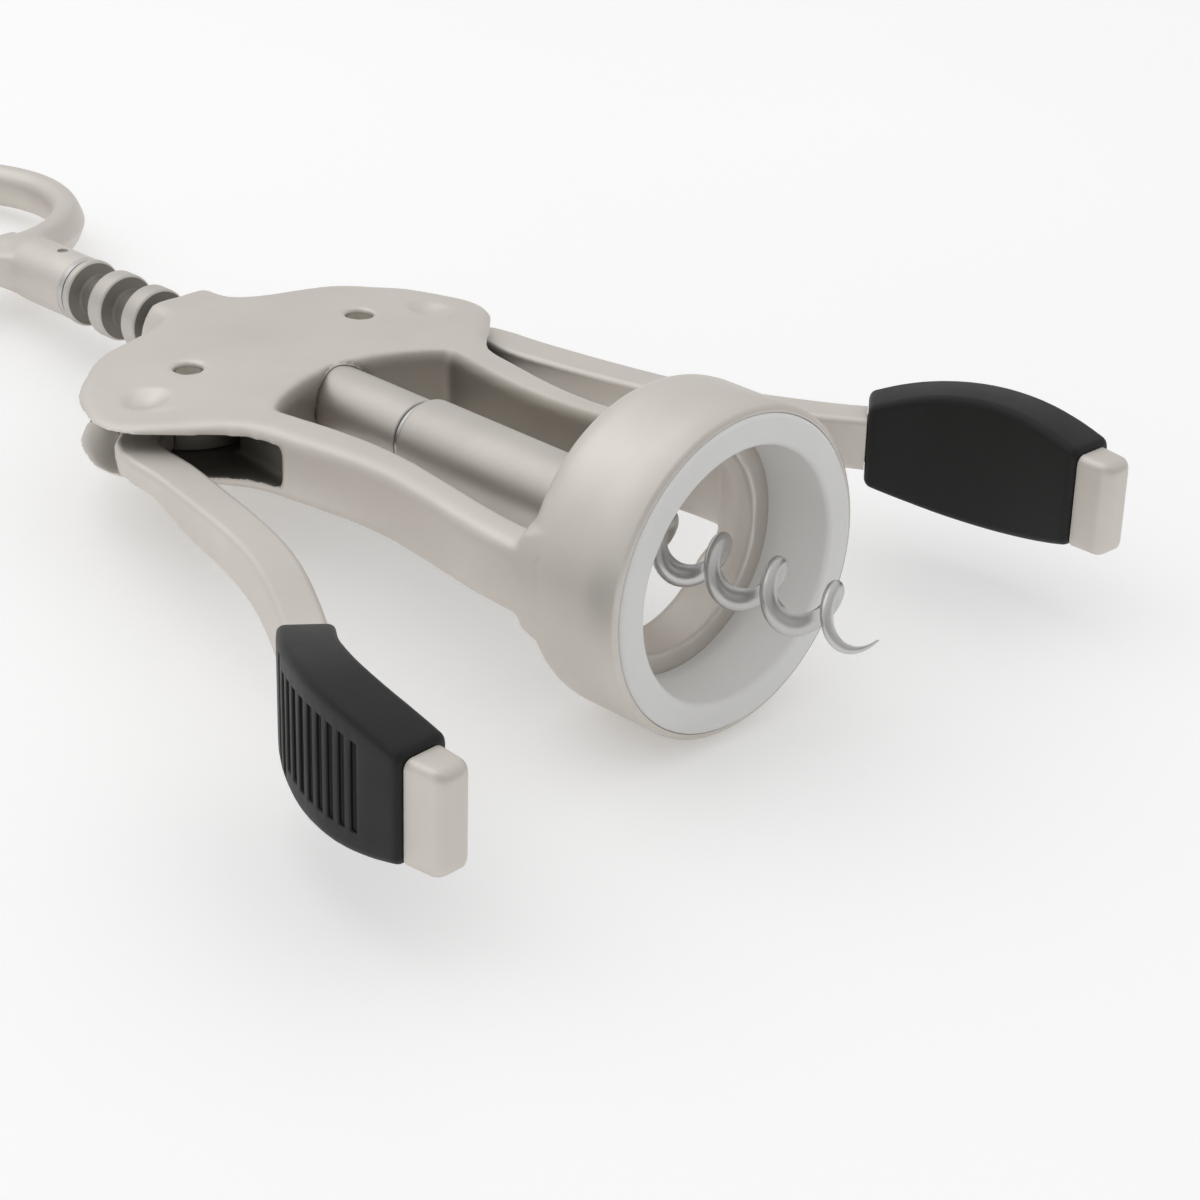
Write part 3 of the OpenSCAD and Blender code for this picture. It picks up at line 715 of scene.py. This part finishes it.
    def turn_front(self, bm: BMesh) -> None:
        """Swaps the front of the bell for a turned one with a crisp lip.

        Args:
            bm: the casting's mesh.
        """
        Shop.cut_across(bm, self.join_y, side=-1)
        front = Shop.lathe([
            (self.bell_radius, self.front_end), (self.bell_radius, 0.0),
            (self.bell_radius - self.rim_chamfer, -self.rim_chamfer), (self.lip, -self.rim_chamfer),
            (self.lip, self.lip_back), (self.recess, self.lip_back), (self.recess, self.front_end),
        ], ring=False, steps=192)
        Shop.take_in(bm, front)
        middle = (self.bell_radius + self.recess) / 2 * MM
        rims = [edge for edge in bm.edges if edge.is_boundary]
        for outside in (True, False):
            loops = [e for e in rims if (math.hypot(e.verts[0].co.x, e.verts[0].co.z) > middle) is outside]
            bmesh.ops.bridge_loops(bm, edges=loops)
        bmesh.ops.recalc_face_normals(bm, faces=bm.faces[:])

    def bore(self, bm: BMesh) -> BMesh:
        """Drills the bore for the rack.

        Args:
            bm: the casting's mesh, which is freed.

        Returns:
            The drilled mesh.
        """
        drill = bmesh.new()
        Shop.add_rod(drill, self.rack_bore, self.bore_start - self.run_out, self.bore_end + self.run_out)
        rod = Shop.block("drill", drill)
        block = Shop.block("casting_bored", bm)
        cut = block.modifiers.new("bore", "BOOLEAN")
        cut.operation = "DIFFERENCE"
        cut.solver = "EXACT"
        cut.object = rod
        drilled = Shop.settle(block)
        bpy.data.objects.remove(rod)
        bmesh.ops.dissolve_degenerate(drilled, edges=drilled.edges[:], dist=SLIVER)
        bmesh.ops.remove_doubles(drilled, verts=drilled.verts[:], dist=SLIVER)
        return drilled


@dataclass
class Liner:
    """The white plastic ring in the mouth of the bell."""

    finishes: Finishes
    bore: float = 16.5
    flange: float = 20.6
    sleeve: float = 18.3
    front: float = -1.0
    flange_back: float = 2.0
    back: float = 9.6
    edge: float = 0.8

    def build(self) -> None:
        """Turns the ring and rounds its front edges."""
        bm = Shop.lathe([
            (self.bore, self.front), (self.flange, self.front), (self.flange, self.flange_back),
            (self.sleeve, self.flange_back), (self.sleeve, self.back), (self.bore, self.back),
        ], ring=True, steps=160)
        front = [edge for edge in Shop.sharp_edges(bm, degrees=57.0)
                 if all(abs(v.co.y - self.front * MM) < SNAP for v in edge.verts)]
        Shop.round_edges(bm, front, self.edge, segments=6)
        Shop.soften(bm, degrees=40.0)
        Shop.finish("mouth_liner", bm, self.finishes.liner_plastic, "bell_liner")


@dataclass
class PivotPin:
    """A pin that a wing turns on, with peened ends."""

    finishes: Finishes
    side: Side
    radius: float = 2.0
    edge: float = 0.3
    dimple: float = 1.2
    dimple_depth: float = 0.25

    def build(self) -> None:
        """Turns the pin about its own axis and stands it in the shoulder."""
        node = f"{self.side.word}_pivot_pin"
        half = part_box(node)[1].z / MM
        top = [
            (self.radius, half - self.edge), (self.radius - self.edge, half), (self.dimple, half),
            (self.dimple / 2, half - self.dimple_depth / 2), (0.0, half - self.dimple_depth),
        ]
        bm = Shop.lathe([(r, -y) for r, y in reversed(top)] + top, ring=False, steps=48)
        spot = Matrix.Translation((self.side.value * PIVOT[0] * MM, PIVOT[1] * MM, 0.0))
        bmesh.ops.transform(bm, matrix=spot @ Matrix.Rotation(math.pi / 2, 4, "X"), verts=bm.verts[:])
        Shop.soften(bm, degrees=35.0)
        Shop.finish(f"{self.side.word}_pin", bm, self.finishes.browned, node)


@dataclass
class LeverPath:
    """The line that a wing follows from its gear to its tip, in millimetres, for the right-hand side."""

    pivot: Point = PIVOT
    elbow: Point = (17.0, -20.0)
    tip: Point = (44.0, -101.0)
    root_radius: float = 10.1
    root_share: float = 0.8
    bend_share: Point = (0.8, 0.33)
    root_rise: float = 1 / 3
    lever_bow: float = 2.1
    lever_bow_place: float = 0.27
    grip_bow: float = 5.4
    grip_bow_shares: tuple[Point, ...] = ((0.5, 0.14), (0.67, 1.0), (0.82, 0.97))
    shoulder: Point = (19.0, -4.7)
    lever_width: float = 6.4
    step: float = 2.0
    step_length: float = 10.0
    sag: float = 4.3
    steps: int = 42
    glance: float = 1.0

    def __post_init__(self) -> None:
        """Works out the points of the line, how long it is and where it leaves the shoulder."""
        pivot = Vector(self.pivot)
        elbow = pivot + Vector(self.elbow)
        tip = pivot + Vector(self.tip)
        shank = tip - elbow
        out = Vector((-shank.y, shank.x)).normalized()
        heading = Vector((self.elbow[0], self.elbow[1] * self.root_rise)).normalized()
        root = pivot + self.root_share * self.root_radius * heading
        bend = Vector([a + share * (b - a) for a, b, share in zip(root, elbow, self.bend_share)])
        bows = [(self.lever_bow_place, -self.lever_bow)]
        bows += [(place, share * self.grip_bow) for place, share in self.grip_bow_shares]
        corners = [root, bend, elbow, *(elbow + place * shank + push * out for place, push in bows), tip]
        last = len(corners) - 1
        self.points = [self.smooth(corners, k * last / self.steps) for k in range(self.steps + 1)]
        self.runs = [0.0]
        for a, b in zip(self.points, self.points[1:]):
            self.runs.append(self.runs[-1] + (b - a).length)
        self.length = self.runs[-1]
        reach = Vector(self.shoulder).length + self.lever_width / 2
        self.slot_end = next(run for run, p in zip(self.runs, self.points) if (p - pivot).length > reach)

    @staticmethod
    def smooth(corners: Sequence[Vector], u: float) -> Vector:
        """Point on a smooth curve through the corners.

        Args:
            corners: the corners.
            u: place along the curve, counted in corners.

        Returns:
            The point.
        """
        i = min(int(u), len(corners) - 2)
        t = u - i
        a, d = corners[max(i - 1, 0)], corners[min(i + 2, len(corners) - 1)]
        b, c = corners[i], corners[i + 1]
        bend = (2 * a - 5 * b + 4 * c - d) * t ** 2
        twist = (3 * b - a - 3 * c + d) * t ** 3
        return (2 * b + (c - a) * t + bend + twist) / 2

    def at(self, s: float) -> Vector:
        """Point at a distance along the line.

        Args:
            s: the distance.

        Returns:
            The point.
        """
        i = next((k for k in range(1, len(self.runs)) if self.runs[k] >= s), len(self.runs) - 1)
        share = (s - self.runs[i - 1]) / (self.runs[i] - self.runs[i - 1])
        return self.points[i - 1].lerp(self.points[i], share)

    def drop(self, s: float) -> float:
        """How far the line lies under the plane of the frame.

        Args:
            s: distance along the line.

        Returns:
            The drop.
        """
        step_end = self.slot_end + self.step_length
        if s < step_end:
            return self.step * max(0.0, s - self.slot_end) / self.step_length
        return self.step + (self.sag - self.step) * min(1.0, (s - step_end) / (self.length - step_end))

    def station(self, s: float) -> Matrix:
        """Frame across the line: X outwards, Y up, Z along the line, in metres.

        Args:
            s: distance along the line.

        Returns:
            The frame.
        """
        along = (self.at(s + self.glance) - self.at(s - self.glance)).normalized()
        spot = self.at(s)
        return Matrix((
            (-along.y, 0.0, along.x, spot.x * MM),
            (along.x, 0.0, along.y, spot.y * MM),
            (0.0, 1.0, 0.0, -self.drop(s) * MM),
            (0.0, 0.0, 0.0, 1.0),
        ))


@dataclass(frozen=True)
class Row:
    """A row of a lofted skin: place and size, whether a groove starts there, and depth under the line."""

    distance: float
    width: float
    height: float
    groove: bool = False
    sink: float = 0.0


class Loft:
    """A rounded section drawn along a wing's line."""

    outer_edge = 0.499
    outer_face = 0.49
    strip_half = 0.37

    def __init__(self, path: LeverPath, corner: float, rows: Sequence[Row]) -> None:
        """Draws the skin.

        Args:
            path: the line.
            corner: radius of the section's corners, in millimetres.
            rows: the rows, in their order along the line.
        """
        self.path = path
        self.bm = bmesh.new()
        self.strips: list[list[BMFace]] = []
        self.first = rows[0]
        ring = self.section(corner)
        placed = Matrix.Identity(4)
        for before, row in zip([None, *rows], rows):
            verts, faces = self.bm.verts[:], []
            if before:
                made = bmesh.ops.extrude_edge_only(self.bm, edges=ring)["geom"]
                faces = [g for g in made if isinstance(g, BMFace)]
                verts = [g for g in made if isinstance(g, BMVert)]
                fresh = set(verts)
                ring = [g for g in made if isinstance(g, BMEdge) and set(g.verts) <= fresh]
            target = self.stand(row)
            bmesh.ops.transform(self.bm, matrix=target @ placed.inverted(), verts=verts)
            placed = target
            if before and before.groove:
                self.strips.append(self.outer_strip(faces, target))
        bmesh.ops.holes_fill(self.bm, edges=[e for e in self.bm.edges if e.is_boundary], sides=0)
        Shop.tidy(self.bm)

    def section(self, corner: float) -> list[BMEdge]:
        """Makes the section of the first row, flat on the XY plane.

        Args:
            corner: radius of its corners.

        Returns:
            The edges of the section.
        """
        width, height = self.first.width * MM, self.first.height * MM
        bmesh.ops.create_grid(self.bm, x_segments=1, y_segments=1, size=0.5)
        bmesh.ops.scale(self.bm, vec=(width, height, 1.0), verts=self.bm.verts[:])
        bmesh.ops.bevel(self.bm, geom=self.bm.verts[:], offset=corner * MM, offset_type="OFFSET",
                        affect="VERTICES", segments=5, profile=0.5, material=-1, clamp_overlap=True)
        outer = [e for e in self.bm.edges if all(v.co.x > self.outer_edge * width for v in e.verts)]
        bmesh.ops.subdivide_edges(self.bm, edges=outer, cuts=8)
        bmesh.ops.delete(self.bm, geom=self.bm.faces[:], context="FACES_ONLY")
        return self.bm.edges[:]

    def stand(self, row: Row) -> Matrix:
        """Place and size of a row's section, as a matrix from the first section."""
        size = Matrix.Diagonal((row.width / self.first.width, row.height / self.first.height, 1.0, 1.0))
        return self.path.station(row.distance) @ Matrix.Translation((0.0, -row.sink * MM, 0.0)) @ size

    def outer_strip(self, faces: list[BMFace], target: Matrix) -> list[BMFace]:
        """Faces of one row on the outer side, clear of its upper and lower margin.

        Args:
            faces: the faces of the row.
            target: place of the row.

        Returns:
            The strip.
        """
        back = target.inverted()
        spots = [(face, back @ face.calc_center_median()) for face in faces]
        across = self.outer_face * self.first.width * MM
        up = self.strip_half * self.first.height * MM
        return [face for face, spot in spots if spot.x > across and abs(spot.y) < up]

    def sink_strips(self, depth: float) -> None:
        """Sinks the strips into the skin.

        Args:
            depth: how deep, in millimetres.
        """
        for faces in self.strips:
            normal = sum((face.normal for face in faces), Vector()).normalized()
            made = bmesh.ops.extrude_face_region(self.bm, geom=faces)["geom"]
            bmesh.ops.delete(self.bm, geom=[face for face in faces if face.is_valid], context="FACES_ONLY")
            verts = [g for g in made if isinstance(g, BMVert)]
            bmesh.ops.translate(self.bm, vec=-normal * depth * MM, verts=verts)


@dataclass
class Wing:
    """One wing: geared lever, rubber grip and tip cap."""

    finishes: Finishes
    side: Side
    path: LeverPath
    tip_length: float = 5.5
    tip_width: float = 6.0
    tip_end_width: float = 5.3
    tip_height: float = 13.2
    tip_sink: float = 0.5
    tip_short: float = 0.4
    tip_round: float = 1.9
    tip_draw: float = 1.4
    tip_corner: float = 1.2
    grip_length: float = 33.0
    gap: float = 0.1
    widths: Triple = (6.8, 7.4, 7.6)
    heights: Triple = (11.6, 18.4, 13.6)
    corner: float = 0.8
    gear_radius: float = 12.8
    gear_lit: float = 8.8
    grooves: int = 10
    groove_start: float = 8.6
    groove_pitch: float = 1.94
    groove_width: float = 0.95
    groove_depth: float = 0.5
    groove_ease: float = 0.2
    start_rows: int = 6
    end_rows: int = 8

    def build(self) -> None:
        """Builds the three pieces of the wing."""
        word = self.side.word
        lever = Shop.finish_copy(f"{word}_wing_lever", f"{word}_lever", self.finishes.nickel)
        lever.data.materials.append(self.finishes.greased)
        pivot = Vector((self.side.value * self.path.pivot[0], self.path.pivot[1], 0.0)) * MM
        # Painted shade on the gear where it lies deep in the slot; the part near the opening stays plain
        # nickel.
        for face in lever.data.polygons:
            spot = (face.center - pivot) / MM
            deep = spot.x * self.side.value < self.gear_lit
            face.material_index = int(spot.length < self.gear_radius and deep)
        self.build_grip()
        self.build_tip()

    @staticmethod
    def bow(t: float, values: Triple) -> float:
        """Size at a place from 0 to 1 on a bow through the sizes at its start, middle and end."""
        a, b, c = values
        return a * (1 - t) * (1 - 2 * t) + 4 * b * t * (1 - t) + c * t * (2 * t - 1)

    @staticmethod
    def quarter(radius: float, steps: int) -> list[Point]:
        """Quarter round at a bar's end: distances from the end, and how far the sides draw in there."""
        turns = [math.pi / 2 * (1 - k / steps) for k in range(steps + 1)]
        return [(radius * (1 - math.sin(a)), radius * (1 - math.cos(a))) for a in turns]

    def grip_rows(self, start: float, length: float) -> list[Row]:
        """Rows of the grip's skin.

        Args:
            start: where the grip starts on the line.
            length: length of the grip.

        Returns:
            The rows.
        """
        ends = self.quarter(self.corner, steps=4)
        marks = [(d, inset, False) for d, inset in ends]
        plain = self.groove_start - self.groove_width / 2 - self.gap - self.corner
        rows = self.start_rows
        marks += [(self.corner + plain * k / rows, 0.0, False) for k in range(1, rows)]
        for k in range(self.grooves):
            centre = self.groove_start + self.groove_pitch * k - self.gap
            half = self.groove_width / 2
            marks += [(centre - half, 0.0, True), (centre + half, 0.0, False)]
        last = marks[-1][0]
        rest = length - self.corner - last
        marks += [(last + rest * k / self.end_rows, 0.0, False) for k in range(1, self.end_rows)]
        marks += [(length - d, inset, False) for d, inset in reversed(ends)]
        return [
            Row(start + d, self.bow(d / length, self.widths) - 2 * inset,
                self.bow(d / length, self.heights) - 2 * inset, groove)
            for d, inset, groove in marks
        ]

    def build_grip(self) -> None:
        """Draws the rubber along the lever and cuts the grooves of its outer face."""
        length = self.grip_length - 2 * self.gap
        start = self.path.length - self.tip_length - self.grip_length + self.gap
        loft = Loft(self.path, self.corner, self.grip_rows(start, length))
        loft.sink_strips(self.groove_depth)
        Shop.round_edges(loft.bm, Shop.sharp_edges(loft.bm, degrees=55.0), self.groove_ease, segments=3)
        self.finish_side(loft.bm, "grip", self.finishes.grip_rubber)

    def build_tip(self) -> None:
        """Draws the metal cap with its rounded end."""
        ends = self.quarter(self.tip_round, steps=8)
        start = self.path.length - self.tip_length
        end = self.path.length - self.tip_short
        rows = [Row(start, self.tip_width, self.tip_height, sink=self.tip_sink)]
        rows += [
            Row(end - d, self.tip_end_width - 2 * inset, self.tip_height - self.tip_draw * inset,
                sink=self.tip_sink)
            for d, inset in reversed(ends)
        ]
        self.finish_side(Loft(self.path, self.tip_corner, rows).bm, "tip_cap", self.finishes.nickel)

    def finish_side(self, bm: BMesh, part: str, material: Material) -> None:
        """Finishes a lofted piece, mirrored on the left-hand side.

        Args:
            bm: the mesh.
            part: name of the part in the wing.
            material: its finish.
        """
        if self.side is Side.LEFT:
            bmesh.ops.scale(bm, vec=(-1.0, 1.0, 1.0), verts=bm.verts[:])
            bmesh.ops.recalc_face_normals(bm, faces=bm.faces[:])
        Shop.soften(bm, degrees=40.0)
        Shop.finish(f"{self.side.word}_wing_{part}", bm, material, f"{self.side.word}_{part}")


@dataclass
class RackAndScrew:
    """The ringed rack, and the spindle, hub and worm that turn inside it."""

    finishes: Finishes
    rack_radius: float = 5.0
    rack_start: float = 56.4
    rack_end: float = 129.0
    groove_depth: float = 2.0
    pivot_y: float = PIVOT[1]
    tooth_pitch: float = 7.854
    groove_top: float = 5.013
    groove_floor: float = 3.148
    groove_skin: float = 0.3
    ring_edge: float = 0.35
    ring_end: float = 1.0
    bore: float = 1.88
    hub_radius: float = 5.7
    hub_start: float = 21.0
    hub_end: float = 55.4
    hub_edge: float = 0.9
    hub_skin: float = 0.1
    shank_hole: float = 2.73
    shank_end: float = 29.0
    spindle_hole: float = 1.83
    helix: float = 2.8
    wire: float = 1.5
    pitch: float = 9.0
    reach: float = 21.0
    point: float = 7.0
    lead_in: float = 4.0
    worm_seat: float = 2.0
    worm_sides: int = 16
    turn_steps: int = 36
    point_share: float = 0.12
    shank_share: float = 0.3

    def build(self) -> None:
        """Builds the pieces from the rack down to the point."""
        self.build_rack()
        self.build_hub()
        self.build_worm()
        for node in ("upper_washer", "lower_washer", "spindle", "hub_pin", "handle_pin"):
            Shop.finish_copy(f"turned_{node}", node, self.finishes.steel)

    def build_rack(self) -> None:
        """Turns the rack with its rings and eases their edges."""
        points = [(self.bore, self.rack_start), (self.rack_radius, self.rack_start)]
        root = self.rack_radius - self.groove_depth
        y = self.pivot_y - self.tooth_pitch
        while y + self.groove_top / 2 < self.rack_end:
            points += [(self.rack_radius, y - self.groove_top / 2), (root, y - self.groove_floor / 2),
                       (root, y + self.groove_floor / 2), (self.rack_radius, y + self.groove_top / 2)]
            y += self.tooth_pitch
        points += [(self.rack_radius, self.rack_end), (self.bore, self.rack_end)]
        bm = Shop.lathe(points, ring=True)
        Shop.round_edges(bm, Shop.sharp_edges(bm, degrees=25.0), self.ring_edge, segments=4)
        Shop.soften(bm, degrees=35.0)
        # Painted shade in the grooves between the rack's rings.
        for face in bm.faces:
            spot = face.calc_center_median() / MM
            between = self.rack_start + self.ring_end < spot.y < self.rack_end - self.ring_end
            sunk = math.hypot(spot.x, spot.z) < self.rack_radius - self.groove_skin
            face.material_index = int(between and sunk)
        piece = Shop.finish("ringed_rack", bm, self.finishes.turned, "rack_sleeve")
        piece.data.materials.append(self.finishes.greased)

    def build_hub(self) -> None:
        """Turns the hub with its rounded ends."""
        bm = Shop.lathe([
            (self.shank_hole, self.hub_start), (self.hub_radius, self.hub_start),
            (self.hub_radius, self.hub_end), (self.spindle_hole, self.hub_end),
            (self.spindle_hole, self.shank_end), (self.shank_hole, self.shank_end),
        ], ring=True)
        inside = (self.hub_radius - self.hub_skin) * MM
        rims = [edge for edge in Shop.sharp_edges(bm, degrees=57.0)
                if all(math.hypot(v.co.x, v.co.z) > inside for v in edge.verts)]
        Shop.round_edges(bm, rims, self.hub_edge, segments=6)
        Shop.soften(bm, degrees=40.0)
        Shop.finish("screw_hub", bm, self.finishes.turned, "worm_hub")

    def build_worm(self) -> None:
        """Winds the wire of the worm down from the hub and grinds its point."""
        sides, per_turn = self.worm_sides, self.turn_steps
        top = self.hub_start + self.worm_seat
        steps = math.ceil((top + self.reach) / self.pitch * per_turn)
        bm = bmesh.new()
        bmesh.ops.create_circle(bm, cap_ends=False, segments=sides, radius=self.wire * MM)
        lean = math.atan2(self.pitch, 2 * math.pi * self.helix)
        stand = Matrix.Translation((self.helix * MM, top * MM, 0.0)) @ Matrix.Rotation(-lean, 4, "X")
        bmesh.ops.transform(bm, matrix=stand, verts=bm.verts[:])
        bmesh.ops.spin(bm, geom=bm.verts[:] + bm.edges[:], cent=(0, 0, 0), axis=(0, 1, 0),
                       dvec=(0, -self.pitch * MM / per_turn, 0), angle=-2 * math.pi * steps / per_turn,
                       steps=steps, use_merge=False)
        bm.verts.ensure_lookup_table()
        for k in range(len(bm.verts) // sides):
            verts = [bm.verts[k * sides + i] for i in range(sides)]
            middle = sum((v.co for v in verts), Vector()) / sides
            y = middle.y / MM
            thick = min(1.0, self.point_share + max(0.0, y + self.reach) / self.point)
            below = max(0.0, self.hub_start - self.wire - y)
            spread = min(1.0, self.shank_share + below / self.lead_in)
            home = Vector((middle.x * spread, middle.y, middle.z * spread))
            for v in verts:
                v.co = home + (v.co - middle) * thick
        bmesh.ops.holes_fill(bm, edges=[e for e in bm.edges if e.is_boundary], sides=0)
        bmesh.ops.recalc_face_normals(bm, faces=bm.faces[:])
        Shop.soften(bm, degrees=50.0)
        Shop.finish("wound_worm", bm, self.finishes.steel, "worm")


@dataclass
class Handle:
    """The ring handle with its neck and cap lifter."""

    finishes: Finishes
    voxel: float = 0.35
    smoothing: int = 16
    neck_cut: float = 140.6
    bow_cut: float = 141.4
    neck_radius: float = 4.8
    bow_centre: float = 169.0
    bow_radius: float = 20.6
    bow_half_width: float = 2.7
    bow_half_height: float = 3.4
    web_half: float = 2.9
    web_thin: float = 0.5
    web_start: float = 4.0
    web_reach: float = 4.0
    bow_skin: float = 1.03

    def build(self) -> None:
        """Keeps the neck's turned end, and blends the ring, the web and the cap lifter."""
        bm = Shop.voxel_skin(Shop.copy_of("handle_bow"), self.voxel)
        self.thin_web(bm)
        Shop.relax(bm, self.smoothing)
        Shop.cut_across(bm, self.bow_cut, side=-1)
        neck = Shop.copy_of("handle_bow")
        Shop.cut_across(neck, self.neck_cut, side=1)
        Shop.take_in(bm, neck)
        bmesh.ops.bridge_loops(bm, edges=[edge for edge in bm.edges if edge.is_boundary])
        Shop.tidy(bm)
        Shop.soften(bm, degrees=50.0)
        piece = Shop.finish("ring_handle", bm, self.finishes.nickel, "handle_bow")
        Shop.even_shading(piece)

    def thin_web(self, bm: BMesh) -> None:
        """Thins the web between neck and ring towards its ends, so that it runs out on the ring.

        Args:
            bm: the handle's mesh.
        """
        for vert in bm.verts:
            x, y, z = vert.co / MM
            across = (math.hypot(x, y - self.bow_centre) - self.bow_radius) / self.bow_half_width
            on_ring = across ** 2 + (z / self.bow_half_height) ** 2 <= self.bow_skin
            if across <= 0 or on_ring or y < self.bow_cut:
                continue
            on_bow = self.bow_half_height * math.sqrt(max(0.0, 1 - across ** 2))
            on_neck = math.sqrt(max(0.0, self.neck_radius ** 2 - x * x))
            share = 1 - ease((abs(x) - self.web_start) / self.web_reach)
            web = self.web_thin + (self.web_half - self.web_thin) * share
            vert.co.z *= min(1.0, max(on_bow, on_neck, web) / self.web_half)


@dataclass(frozen=True)
class Lamp:
    """A square soft light: where it hangs and points, in metres, its side and its power."""

    name: str
    spot: Triple
    target: Triple
    size: float
    watts: float

    def hang(self) -> None:
        """Puts the light into the scene."""
        data = bpy.data.lights.new(self.name, "AREA")
        data.shape = "SQUARE"
        data.size = self.size
        data.energy = self.watts
        lamp = bpy.data.objects.new(self.name, data)
        lamp.location = Vector(self.spot)
        lamp.rotation_euler = (Vector(self.target) - Vector(self.spot)).to_track_quat("-Z", "Y").to_euler()
        bpy.context.scene.collection.objects.link(lamp)


@dataclass
class Studio:
    """Pale table, soft light and the camera of the picture; floor_half and near are in metres."""

    floor_rise: float = 0.1019
    floor_level: float = -22.75
    floor_half: float = 3.0
    table_tints: tuple[Colour, Colour] = ((0.88, 0.88, 0.88), (0.90, 0.90, 0.90))
    lamps: tuple[Lamp, ...] = (
        Lamp("overhead", spot=(-0.30, 0.50, 0.90), target=(0.0, 0.06, 0.0), size=1.2, watts=2.2),
        Lamp("fill", spot=(-0.60, -0.05, 0.12), target=(0.0, 0.03, -0.01), size=0.5, watts=0.15),
    )
    sky_axis: Triple = (0.36, 0.44, 0.82)
    sky_low: float = 0.28
    sky_high: float = 0.84
    table_glow: float = 0.22
    camera_at: Triple = (-247.179, -214.969, 158.268)
    camera_right: Triple = (0.70187, -0.71181, 0.02656)
    camera_up: Triple = (0.29986, 0.32908, 0.89543)
    camera_back: Triple = (-0.64612, -0.62050, 0.44442)
    lens: float = 90.0
    sensor: float = 36.0
    near: float = 0.01

    def build(self) -> None:
        """Sets the table, the lights, the world and the camera."""
        self.build_floor()
        self.build_world()
        for lamp in self.lamps:
            lamp.hang()
        self.build_camera()
        bpy.context.scene.view_settings.view_transform = "Standard"

    def build_floor(self) -> None:
        """Lays the table under the bell and the handle, which the part rests on."""
        bm = bmesh.new()
        bmesh.ops.create_grid(bm, x_segments=1, y_segments=1, size=self.floor_half)
        lift = Matrix.Translation((0, 0, self.floor_level * MM))
        tilt = lift @ Matrix.Rotation(math.atan(self.floor_rise), 4, "X")
        bmesh.ops.transform(bm, matrix=tilt, verts=bm.verts[:])
        table = Shop.block("table", bm)
        bench = NodeBench("pale_table")
        cloud = bench.span(bench.noise(scale=6.0, detail=2.0), 0.0, 1.0)
        bench.join(bench.blend(cloud, *self.table_tints), bench.shader, "Base Color")
        bench.fixed(Roughness=0.6, IOR=1.3, Emission_Color=(1.0, 1.0, 1.0, 1.0))
        bench.join(self.seen_directly(bench), bench.shader, "Emission Strength")
        table.data.materials.append(bench.material)

    def seen_directly(self, bench: NodeBench) -> NodeSocket:
        """Glow of the table for the camera, mirrors and glass, which lights nothing else.

        Args:
            bench: the table's material.

        Returns:
            The strength socket.
        """
        rays = bench.add("ShaderNodeLightPath").outputs
        shown = rays["Is Camera Ray"]
        for kind in ("Is Glossy Ray", "Is Transmission Ray"):
            either = bench.add("ShaderNodeMath", operation="MAXIMUM")
            bench.join(shown, either, 0)
            bench.join(rays[kind], either, 1)
            shown = either.outputs[0]
        glow = bench.add("ShaderNodeMath", operation="MULTIPLY")
        bench.join(shown, glow, 0)
        glow.inputs[1].default_value = self.table_glow
        return glow.outputs[0]

    def build_world(self) -> None:
        """A plain room, brightest behind the part and overhead."""
        world = bpy.data.worlds.new("room")
        bpy.context.scene.world = world
        world.use_nodes = True
        tree = world.node_tree
        tree.nodes.clear()
        kinds = ("OutputWorld", "Background", "MapRange", "VectorMath", "TexCoord")
        output, light, ramp, lean, place = [tree.nodes.new(f"ShaderNode{kind}") for kind in kinds]
        lean.operation = "DOT_PRODUCT"
        lean.inputs[1].default_value = self.sky_axis
        ramp.inputs["From Min"].default_value = -1.0
        ramp.inputs["To Min"].default_value = self.sky_low
        ramp.inputs["To Max"].default_value = self.sky_high
        tree.links.new(place.outputs["Generated"], lean.inputs[0])
        tree.links.new(lean.outputs["Value"], ramp.inputs["Value"])
        tree.links.new(ramp.outputs["Result"], light.inputs["Strength"])
        tree.links.new(light.outputs["Background"], output.inputs["Surface"])
        light.inputs["Color"].default_value = (1.0, 1.0, 1.0, 1.0)

    def build_camera(self) -> None:
        """Puts the camera where the picture was taken from."""
        data = bpy.data.cameras.new("view")
        data.lens = self.lens
        data.sensor_width = self.sensor
        data.sensor_fit = "HORIZONTAL"
        data.clip_start = self.near
        camera = bpy.data.objects.new("view", data)
        turn = Matrix((self.camera_right, self.camera_up, self.camera_back)).transposed().to_4x4()
        camera.matrix_world = Matrix.Translation(Vector(self.camera_at) * MM) @ turn
        bpy.context.scene.collection.objects.link(camera)
        bpy.context.scene.camera = camera


def main() -> None:
    """Builds the part from the frame outwards, then the studio."""
    logging.basicConfig(level=logging.INFO, format="%(name)s %(message)s")
    finishes = Finishes.mix()
    for row in frame["record"]["subparts"]:
        node = frame["nodes"][row["node"]]
        node.data.materials.clear()
        node.data.materials.append(finishes.by_slot(row["material_slot"]))
    Casting(finishes).build()
    Liner(finishes).build()
    path = LeverPath()
    for side in Side:
        PivotPin(finishes, side).build()
        Wing(finishes, side, path).build()
    RackAndScrew(finishes).build()
    Handle(finishes).build()
    Studio().build()


if __name__ == "__main__":
    main()
